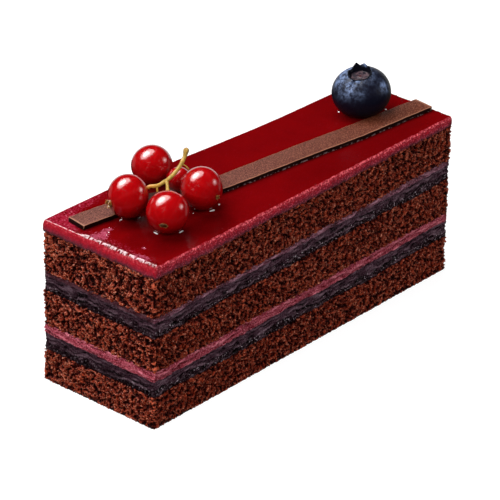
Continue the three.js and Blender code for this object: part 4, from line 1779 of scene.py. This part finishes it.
@dataclass
class Currants:
    """The five currants with their dried flower ends.

    fullness is how much larger a berry is than its CAD solid, and foot where its flower end
    starts, both as shares of the solid's radius.
    """

    sides: int = 72
    rings: int = 44
    ribs: int = 10
    fullness: float = 1.015
    foot: float = 1.015 * 0.955
    leaves: int = 5
    leaf_steps: int = 6
    hollow_sides: int = 10
    finish: CurrantFinish = CurrantFinish()
    flower_finish: StalkFinish = StalkFinish(
        "dried_flower", middle=(0.26, 0.105, 0.022), green=(0.065, 0.02, 0.006),
        foot=(0.012, 0.003, 0.001), tip=(0.42, 0.19, 0.045))

    def berry(self, spec: CurrantSpec, order: int) -> Piece:
        """Builds one berry, slightly uneven, with veins from pole to pole.

        Args:
            spec: the currant.
            order: its place in CURRANTS.

        Returns:
            The piece, with masks vein and under.
        """
        latitude = np.linspace(0, math.pi, self.rings + 1)[1:-1]
        longitude = np.linspace(0, math.tau, self.sides, endpoint=False)
        lat, lon = np.meshgrid(latitude, longitude, indexing="ij")
        vein = np.clip(np.cos(lon * self.ribs + order) * 4 - 3, 0, 1) * np.sin(lat)
        uneven = 0.006 * np.sin(lon * 2 + order) * np.sin(lat) + 0.004 * np.cos(lon * 3 + 2 * order)
        dimple = 0.05 * bell(lat, 0.16) + 0.04 * bell(math.pi - lat, 0.2)
        radius = spec.radius * self.fullness
        size = radius * (1 + uneven * np.sin(lat) - dimple)
        local = np.stack([size * np.sin(lat) * np.cos(lon), size * np.sin(lat) * np.sin(lon),
                          size * np.cos(lat)], axis=-1).reshape(-1, 3)
        local = np.concatenate([local, [[0, 0, radius * 0.95], [0, 0, -radius * 0.96]]])
        points = self.stand(local, spec)
        loops = np.arange((self.rings - 1) * self.sides).reshape(self.rings - 1, self.sides)
        faces = ball_faces(loops, len(points) - 2, len(points) - 1, flip=True)
        piece = new_piece(f"{spec.node}_berry", points, faces)
        store(piece, "vein", np.concatenate([vein.ravel(), [0, 0]]))
        height = (points[:, 2] - spec.middle[2]) / (spec.radius * spec.stretch)
        store(piece, "under", np.clip(spec.shade - height * 0.8, 0, 1))
        return piece

    def stand(self, local: Array, spec: CurrantSpec) -> Array:
        """Turns points to a currant's flower end, stretches them and puts them in its place."""
        turned = local @ turn_to(np.array(spec.pole)).T
        return turned * np.array([1, 1, spec.stretch]) + np.array(spec.middle)

    def leaf(self, spec: CurrantSpec, order: int, leaf: int) -> list[tuple]:
        """Places the points of one dried leaf, row by row from its foot, six to a row.

        Args:
            spec: the currant.
            order: its place in CURRANTS.
            leaf: which leaf.

        Returns:
            The points, with +Z out of the berry.
        """
        size = spec.flower * spec.radius
        foot = spec.radius * self.foot
        middle = math.tau * leaf / self.leaves + 0.4 * order
        points = []
        for step in range(self.leaf_steps):
            share = step / (self.leaf_steps - 1)
            lean = 0.72 + 0.32 * share * share
            reach = size * (lean + 0.12 * math.sin(leaf * 2.1 + order))
            rise = foot + spec.tall * share * (1 + 0.25 * math.sin(leaf * 3.3))
            half = size * 0.55 * (1 - share) ** 0.5 + 0.04
            for across in (-1, 0, 1):
                for face in (1, -1):
                    out = reach + 0.07 * face - 0.12 * size * across * across
                    points.append((out * math.cos(middle) - across * half * math.sin(middle),
                                   out * math.sin(middle) + across * half * math.cos(middle), rise))
        return points

    def flower_end(self, spec: CurrantSpec, order: int) -> Piece:
        """Builds the dried flower end: a ring of thin curled leaves round a dark hollow.

        Args:
            spec: the currant.
            order: its place in CURRANTS.

        Returns:
            The piece, with the share of the leaves' length along them.
        """
        # Round a leaf: its outer points are even, its inner ones odd.
        around = np.array([0, 2, 4, 5, 3, 1])
        points, faces, along = [], [], []
        for leaf in range(self.leaves):
            rows = len(points) + np.arange(self.leaf_steps)[:, None] * len(around) + around
            points += self.leaf(spec, order, leaf)
            along += np.repeat(0.3 + 0.7 * np.linspace(0, 1, self.leaf_steps), len(around)).tolist()
            for low, high in zip(rows, rows[1:]):
                faces += np.column_stack([low, high, np.roll(high, -1), np.roll(low, -1)]).tolist()
            faces.append(rows[0].tolist())
            faces.append(rows[-1][::-1].tolist())
        size = spec.flower * spec.radius
        foot = spec.radius * self.foot
        hollow = len(points) + np.arange(3 * self.hollow_sides).reshape(3, -1)
        for share, rise in ((0.7, 0.0), (0.6, 0.22), (0.2, 0.3)):
            for angle in math.tau * np.arange(self.hollow_sides) / self.hollow_sides:
                reach = size * share
                points.append((reach * math.cos(angle), reach * math.sin(angle), foot + size * rise))
                along.append(0.0)
        faces += wall_faces(hollow)
        faces.append(hollow[-1].tolist())
        faces.append(hollow[0][::-1].tolist())
        placed = self.stand(np.array(points), spec)
        level = spec.middle[2] + foot * spec.pole[2] * spec.stretch
        placed[:, 2] = level + (placed[:, 2] - level) * spec.flat
        piece = new_piece(f"{spec.node}_flower_end", placed, faces)
        store(piece, "along", np.array(along))
        return piece

    def build(self) -> None:
        """Builds and dresses the currants."""
        skin = self.finish.material()
        dried = self.flower_finish.material()
        for order, spec in enumerate(CURRANTS):
            berry = self.berry(spec, order)
            berry.data.materials.append(skin)
            settle(berry, "currant", spec.node)
            flower = self.flower_end(spec, order)
            flower.data.materials.append(dried)
            settle(flower, "stalk")


# ---- Stalk ----


@dataclass(frozen=True)
class Stem:
    """One stem: its route, and its radii at both ends."""

    route: tuple[Place, ...]
    start_radius: float
    end_radius: float


@dataclass
class Stalk:
    """The currants' stalk with its side stems and knobbed tip."""

    stems: tuple[Stem, ...] = (
        Stem(((-36.6, 0.45, 49.8), (-36.15, 0.05, 50.1), (-35, -1, 50.2), (-33, -1.2, 50.4),
              (-31, -1.2, 50.7), (-29.1, -1.15, 51.4), (-27.7, -1.25, 52.4), (-26.7, -1.2, 53.3),
              (-25.6, -1, 54.3), (-24.45, -0.6, 56.0)), 0.42, 0.5),
        Stem(((-32.2, -1.4, 50.45), (-33.6, -2.9, 50.2), (-35, -4.3, 49.95)), 0.36, 0.4),
        Stem(((-27, -1.2, 53), (-26.4, -1.9, 52.5), (-25.85, -2.5, 51.6)), 0.17, 0.17),
        Stem(((-35.1, -1, 50.2), (-35.3, -1.3, 49.6), (-35.35, -1.45, 49)), 0.22, 0.24),
    )
    knob: float = 0.7
    knob_length: float = 1.5
    sides: int = 18
    step: float = 0.12
    finish: StalkFinish = StalkFinish()

    def tree(self) -> Tree:
        """Builds the tree that sweeps a round section along curves with their own radii.

        Returns:
            A geometry group. Sizes are in metres.
        """
        sheet, source, result = shape_tree("Stem", {"Sides": Kind.COUNT, "Step": Kind.NUMBER})
        fine = sheet.node("GeometryNodeResampleCurve", {
            "Curve": source["Geometry"], "Length": source["Step"]}, mode="LENGTH")
        swell = sheet.ease(sheet.noise(sheet.position(), 0.9, 2.0), 0.3, 0.7, 0.92, 1.1)
        swollen = sheet.times(sheet.node("GeometryNodeInputRadius").outputs[0], swell)
        section = sheet.node("GeometryNodeCurvePrimitiveCircle", {
            "Resolution": source["Sides"], "Radius": 1.0})
        swept = sheet.node("GeometryNodeCurveToMesh", {
            "Curve": fine.outputs[0], "Profile Curve": section.outputs[0], "Fill Caps": True,
            "Scale": swollen})
        smooth = sheet.node("GeometryNodeSetShadeSmooth", {"Geometry": swept.outputs[0]}).outputs[0]
        end_tree(sheet, smooth, source["Finish"], result)
        return sheet.tree

    def radius(self, stem: Stem, share: float, left: float) -> float:
        """Radius of a stem part of the way along it.

        Args:
            stem: the stem.
            share: how much of its run lies behind.
            left: the length left to its tip.

        Returns:
            The radius there.
        """
        size = stem.start_radius + (stem.end_radius - stem.start_radius) * share
        if stem is not self.stems[0]:
            return size
        if left < self.knob_length:
            size += (self.knob - size) * math.sin(math.pi * left / self.knob_length) ** 0.7
        return size * math.sqrt(max(0.06, 1 - max(0.0, 1 - left / 0.45) ** 2))

    def build(self) -> None:
        """Builds and dresses the stalk."""
        data = bpy.data.curves.new("currant_stalk_skin", "CURVE")
        data.dimensions = "3D"
        for stem in self.stems:
            line = data.splines.new("POLY")
            route = smooth_route(np.array(stem.route), 12)
            run = lengths_along(route)
            line.points.add(len(route) - 1)
            for point, spot, at in zip(line.points, route, run):
                point.co = (*(spot * MM), 1)
                point.radius = self.radius(stem, at / run[-1], run[-1] - at) * MM
        curve = bpy.data.objects.new("currant_stalk_skin", data)
        bpy.context.scene.collection.objects.link(curve)
        mesh = grow(curve, self.tree(), {
            "Sides": self.sides, "Step": self.step * MM, "Finish": self.finish.material()})
        bpy.data.objects.remove(curve)
        piece = bpy.data.objects.new("currant_stalk_skin", mesh)
        bpy.context.scene.collection.objects.link(piece)
        self.store_along(piece)
        settle(piece, "stalk", "currant_stalk")

    def store_along(self, piece: Piece) -> None:
        """Stores how far along the main stem each point lies.

        Args:
            piece: the stalk.
        """
        route = smooth_route(np.array(self.stems[0].route)) * MM
        spots = np.array([v.co for v in piece.data.vertices])
        gaps = np.linalg.norm(spots[:, None, :] - route[None, :, :], axis=2)
        store(piece, "along", gaps.argmin(1) / (len(route) - 1))


# ---- Blueberry ----


@dataclass(frozen=True)
class Lobe:
    """A lobe of the blueberry's crown: its direction in degrees, height and half-width."""

    way: float
    rise: float
    half: float = 34.0


@dataclass
class Blueberry:
    """The blueberry: a squat ball with creases under its crown, one lobe of which is pale."""

    middle: Place = BLUEBERRY_MIDDLE
    radius: float = BLUEBERRY_RADIUS
    half_height: float = BLUEBERRY_HALF_HEIGHT
    lean: Place = (-0.209, -0.027, 1.0)
    rim_radius: float = 2.8
    lobes: tuple[Lobe, ...] = (
        Lobe(55, 1.4, 26), Lobe(13, 1.15, 34), Lobe(-17, 1.05, 18), Lobe(132, 1.0, 38),
        Lobe(-68, 0.45), Lobe(-140, 0.12))
    pale_lobe: float = 14.0
    cup_depth: float = 0.85
    floor_radius: float = 2.4
    creases: tuple[Span, ...] = ((-168, 0.6), (-140, 0.1), (-95, 0.18), (25, 0.2))
    pale: tuple[Span, ...] = (
        (0.247, -0.855, 0.36, 1.6, 0.16), (-0.672, -0.132, 0.597, 0.7, 0.13))
    sides: int = 200
    rings: int = 100
    finish: BlueberryFinish = BlueberryFinish()

    def around(self, turn: Array, way: float) -> Array:
        """Angles in degrees from a direction, between -180 and 180."""
        return (np.degrees(turn) - way + 180) % 360 - 180

    def build(self) -> None:
        """Builds and dresses the blueberry."""
        turn = np.linspace(0, math.tau, self.sides, endpoint=False)
        shoulder = math.acos((self.rim_radius + 0.25) / self.radius)
        rim_z = self.half_height * math.sin(shoulder)
        lobe = np.zeros(self.sides)
        for spec in self.lobes:
            away = np.abs(self.around(turn, spec.way)) / spec.half
            lobe = np.maximum(lobe, spec.rise * np.clip(1 - away, 0, 1) ** 0.85)
        crease = np.zeros(self.sides)
        for way, depth in self.creases:
            crease += depth * bell(self.around(turn, way), 5.5)
        rows, cups, lobes, blooms = [], [], [], []

        def add(r: Value, z: Value, cup: float, dark: Value, bloom: Value) -> None:
            """Adds a ring of points with its masks.

            Args:
                r: its radius.
                z: its height.
                cup: how far it is cup.
                dark: how far it is lobe.
                bloom: how strong its bloom is.
            """
            rows.append(np.column_stack([r * np.cos(turn), r * np.sin(turn), z + 0 * turn]))
            cups.append(cup)
            lobes.append(dark + 0 * turn)
            blooms.append(bloom + 0 * turn)

        for angle in np.linspace(-math.pi / 2, shoulder, self.rings)[1:]:
            near = math.exp(-(((shoulder - angle) / 0.3) ** 2))
            r = self.radius * math.cos(angle) * (1 + 0.006 * np.sin(3 * turn + 4 * angle))
            add(r, self.half_height * math.sin(angle) - crease * near, 0.0, 0.0, 1.0)
        # Steps over the rim: out, up, share of the lobe's rise, and how far it is cup and lobe.
        profile = [(0.05, 0.06, 0.25, 0.0, 0.6), (0.1, 0.1, 0.6, 0.0, 1.0), (0.06, 0.12, 0.9, 0.0, 1.0),
                   (0.0, 0.12, 1.0, 0.0, 1.0), (-0.1, 0.08, 0.93, 0.0, 1.0), (-0.2, 0.0, 0.6, 0.0, 1.0),
                   (-0.3, -0.1, 0.2, 0.0, 1.0), (-0.4, -0.4, 0.0, 0.0, 1.0),
                   (-0.47, -0.8, 0.0, 0.0, 1.0), (-0.53, -0.97, 0.0, 0.5, 0.6)]
        for out, up, share, cup, dark in profile:
            level = rim_z + up * (1 if up > 0 else self.cup_depth) + share * lobe
            bare = np.exp(-((self.around(turn, self.pale_lobe) / 17) ** 4)) if share > 0.5 else 0 * turn
            add(self.rim_radius + out, level, cup, dark * (1 - bare), 1.5 * bare)
        floor = rim_z - self.cup_depth
        for share in (0.85, 0.7, 0.52, 0.36, 0.22, 0.1):
            rise = 0.22 * math.exp(-((share / 0.25) ** 2))
            add(self.floor_radius * share, floor + rise, 1.0, 0.0, 0.0)
        local = np.concatenate([*rows, [[0, 0, -self.half_height]], [[0, 0, floor + 0.22]]])
        count = self.sides
        loops = np.arange(len(rows) * count).reshape(len(rows), count)
        faces = ball_faces(loops, len(local) - 2, len(local) - 1)
        points = local @ turn_to(np.array(self.lean)).T + np.array(self.middle)
        piece = new_piece("blueberry_skin_piece", points, faces)
        scars = np.array([1.0 if np.hypot(p[0], p[1]) < 0.5 and p[2] > 0 else 0.0 for p in local])
        store(piece, "cup", np.concatenate([np.repeat(cups, count), [0, 1.0]]))
        store(piece, "lobe", np.concatenate([*lobes, [0, 0.0]]))
        store(piece, "scar", scars)
        # The bloom is stronger on the top and on the side facing the key light: partly real bloom, partly
        # painted sheen.
        height = np.clip((local[:, 2] / self.half_height - 0.02) / 0.8, 0, 1)
        facing_key_light = local @ np.array([-0.42, 0.66, 0.55]) / self.radius
        mask = np.concatenate([*blooms, [0, 0]])
        pale = np.zeros(len(local))
        for *spot, strength, reach in self.pale:
            away = np.linalg.norm(local / self.radius - np.array(spot), axis=1)
            pale += strength * bell(away, reach)
        store(piece, "bloom", mask * (height**1.9 * np.clip(0.22 + 1.75 * facing_key_light, 0.08, 2.0) + pale))
        piece.data.materials.append(self.finish.material())
        settle(piece, "blueberry", "blueberry")


# ---- Studio ----


class Role(Enum):
    """What a soft light is for."""

    KEY = "lights the cake and shows in its gloss"
    FILL = "lights the cake only"
    GLOSS = "shows in the gloss only"


@dataclass(frozen=True)
class Softbox:
    """A soft light: the way to it from the cake, its distance and size in metres, its radiance."""

    name: str
    role: Role
    way: Place
    distance: float
    size: Span
    radiance: float
    along: Place = (0.651, -0.759, 0.0)


WINDOW_ALONG = (1.07, -0.29, 0.24)
SIDE_WAY = (0.652, -0.645, 0.4)


@dataclass
class Studio:
    """Floor, lights and camera."""

    aim: Place = (-0.86, -0.02, 19.75)
    azimuth: float = 49.385
    elevation: float = 28.037
    roll: float = 1.164
    distance: float = 911.77
    lens: float = 274.8
    shift: Span = (0.0009, 0.001)
    floor_size: float = 6.0
    floor_bounce: float = 0.28
    floor_glow: float = 0.8
    surroundings: float = 0.12
    lights: tuple[Softbox, ...] = (
        Softbox("window", Role.KEY, (-0.147, 0.414, 0.895), 0.75, (1.02, 0.6), 6.5, WINDOW_ALONG),
        Softbox("window_core", Role.GLOSS, (-0.2, 0.44, 0.875), 0.74, (0.46, 0.34), 11.0, WINDOW_ALONG),
        Softbox("side_window", Role.GLOSS, SIDE_WAY, 0.82, (0.34, 0.46), 1.2),
        Softbox("side_window_middle", Role.GLOSS, SIDE_WAY, 0.81, (0.22, 0.32), 1.9),
        Softbox("side_window_core", Role.GLOSS, SIDE_WAY, 0.8, (0.11, 0.18), 3.4),
        Softbox("left_fill", Role.FILL, (-0.74, -0.18, 0.65), 0.9, (0.5, 0.5), 10.0),
        Softbox("front_fill", Role.FILL, (0.12, -0.8, 0.58), 0.9, (0.5, 0.5), 4.7),
        Softbox("left_rim", Role.GLOSS, (-0.2, 0.93, -0.1), 0.9, (0.6, 0.5), 0.2),
        Softbox("right_rim", Role.GLOSS, (0.89, -0.36, -0.15), 0.9, (0.4, 0.5), 0.2),
        Softbox("back_glow", Role.GLOSS, (0.8, 0.58, -0.12), 1.2, (2.2, 0.8), 0.7),
    )

    def build(self) -> None:
        """Builds the floor, the lights, the surroundings and the camera."""
        self.floor()
        for light in self.lights:
            self.lamp(light)
        world = bpy.data.worlds.new("studio")
        world.use_nodes = True
        world.node_tree.nodes["Background"].inputs[0].default_value = (1, 1, 1, 1)
        sheet = Sheet(world.node_tree)
        seen = sheet.node("ShaderNodeLightPath").outputs["Is Camera Ray"]
        strength = sheet.ease(seen, 0.0, 1.0, self.surroundings, 1.0)
        sheet.feed(world.node_tree.nodes["Background"].inputs[1], strength)
        world.cycles_visibility.glossy = False
        bpy.context.scene.world = world
        bpy.context.scene.view_settings.view_transform = "Standard"
        self.camera()

    def lamp(self, light: Softbox) -> None:
        """Builds one soft light.

        Args:
            light: the light.
        """
        way = Vector(light.way).normalized()
        along = Vector(light.along)
        along = (along - way * along.dot(way)).normalized()
        data = bpy.data.lights.new(light.name, "AREA")
        data.shape = "ELLIPSE"
        data.size, data.size_y = light.size
        data.energy = light.radiance * math.pi * light.size[0] * light.size[1] * math.pi / 4
        lamp = bpy.data.objects.new(light.name, data)
        turn = Matrix((along, way.cross(along), way)).transposed().to_4x4()
        lamp.matrix_world = Matrix.Translation(Vector((0, 0, 0.04)) + way * light.distance) @ turn
        lamp.visible_camera = False
        lamp.visible_glossy = light.role is not Role.FILL
        lamp.visible_diffuse = light.role is not Role.GLOSS
        bpy.context.scene.collection.objects.link(lamp)

    def floor(self) -> None:
        """Builds the plain pale floor, lit softly enough to keep its colour near the cake."""
        half = self.floor_size / MM / 2
        corners = np.array([[-half, -half, 0], [half, -half, 0], [half, half, 0], [-half, half, 0]])
        piece = new_piece("floor", corners, [[0, 1, 2, 3]])
        material, sheet, shader, _ = new_material("pale_floor", 0.9)
        bounce = self.floor_bounce
        shader.inputs["Base Color"].default_value = (bounce, bounce, bounce, 1)
        shader.inputs["Specular IOR Level"].default_value = 0.0
        shader.inputs["Emission Color"].default_value = (1, 1, 1, 1)
        seen = sheet.node("ShaderNodeLightPath").outputs["Is Camera Ray"]
        sheet.feed(shader.inputs["Emission Strength"], sheet.times(seen, self.floor_glow))
        piece.data.materials.append(material)
        piece.visible_glossy = False

    def camera(self) -> None:
        """Places the camera at the photograph's viewing angle."""
        azimuth, elevation, roll = (math.radians(v) for v in (self.azimuth, self.elevation, self.roll))
        ahead = Vector((math.sin(azimuth) * math.cos(elevation),
                        math.cos(azimuth) * math.cos(elevation), -math.sin(elevation)))
        level = ahead.cross(Vector((0, 0, 1))).normalized()
        above = level.cross(ahead)
        right = level * math.cos(roll) + above * math.sin(roll)
        up = above * math.cos(roll) - level * math.sin(roll)
        place = (Vector(self.aim) - ahead * self.distance) * MM
        data = bpy.data.cameras.new("view")
        data.sensor_width = 36
        data.lens = self.lens
        data.clip_start = 0.05
        data.shift_x, data.shift_y = self.shift
        camera = bpy.data.objects.new("view", data)
        turn = Matrix((right, up, -ahead)).transposed()
        camera.matrix_world = Matrix.Translation(place) @ turn.to_4x4()
        bpy.context.scene.collection.objects.link(camera)
        bpy.context.scene.camera = camera


def main() -> None:
    """Builds the studio and every piece of the cake, and notes its size."""
    logging.basicConfig(level=logging.INFO, format="%(name)s: %(message)s")
    Studio().build()
    SpongeLayers().build()
    SoftLayers().build()
    strip = Strip()
    glaze = Glaze()
    glaze.build(strip)
    Beads().build(glaze, strip)
    strip.build()
    Currants().build()
    Stalk().build()
    Blueberry().build()


if __name__ == "__main__":
    main()
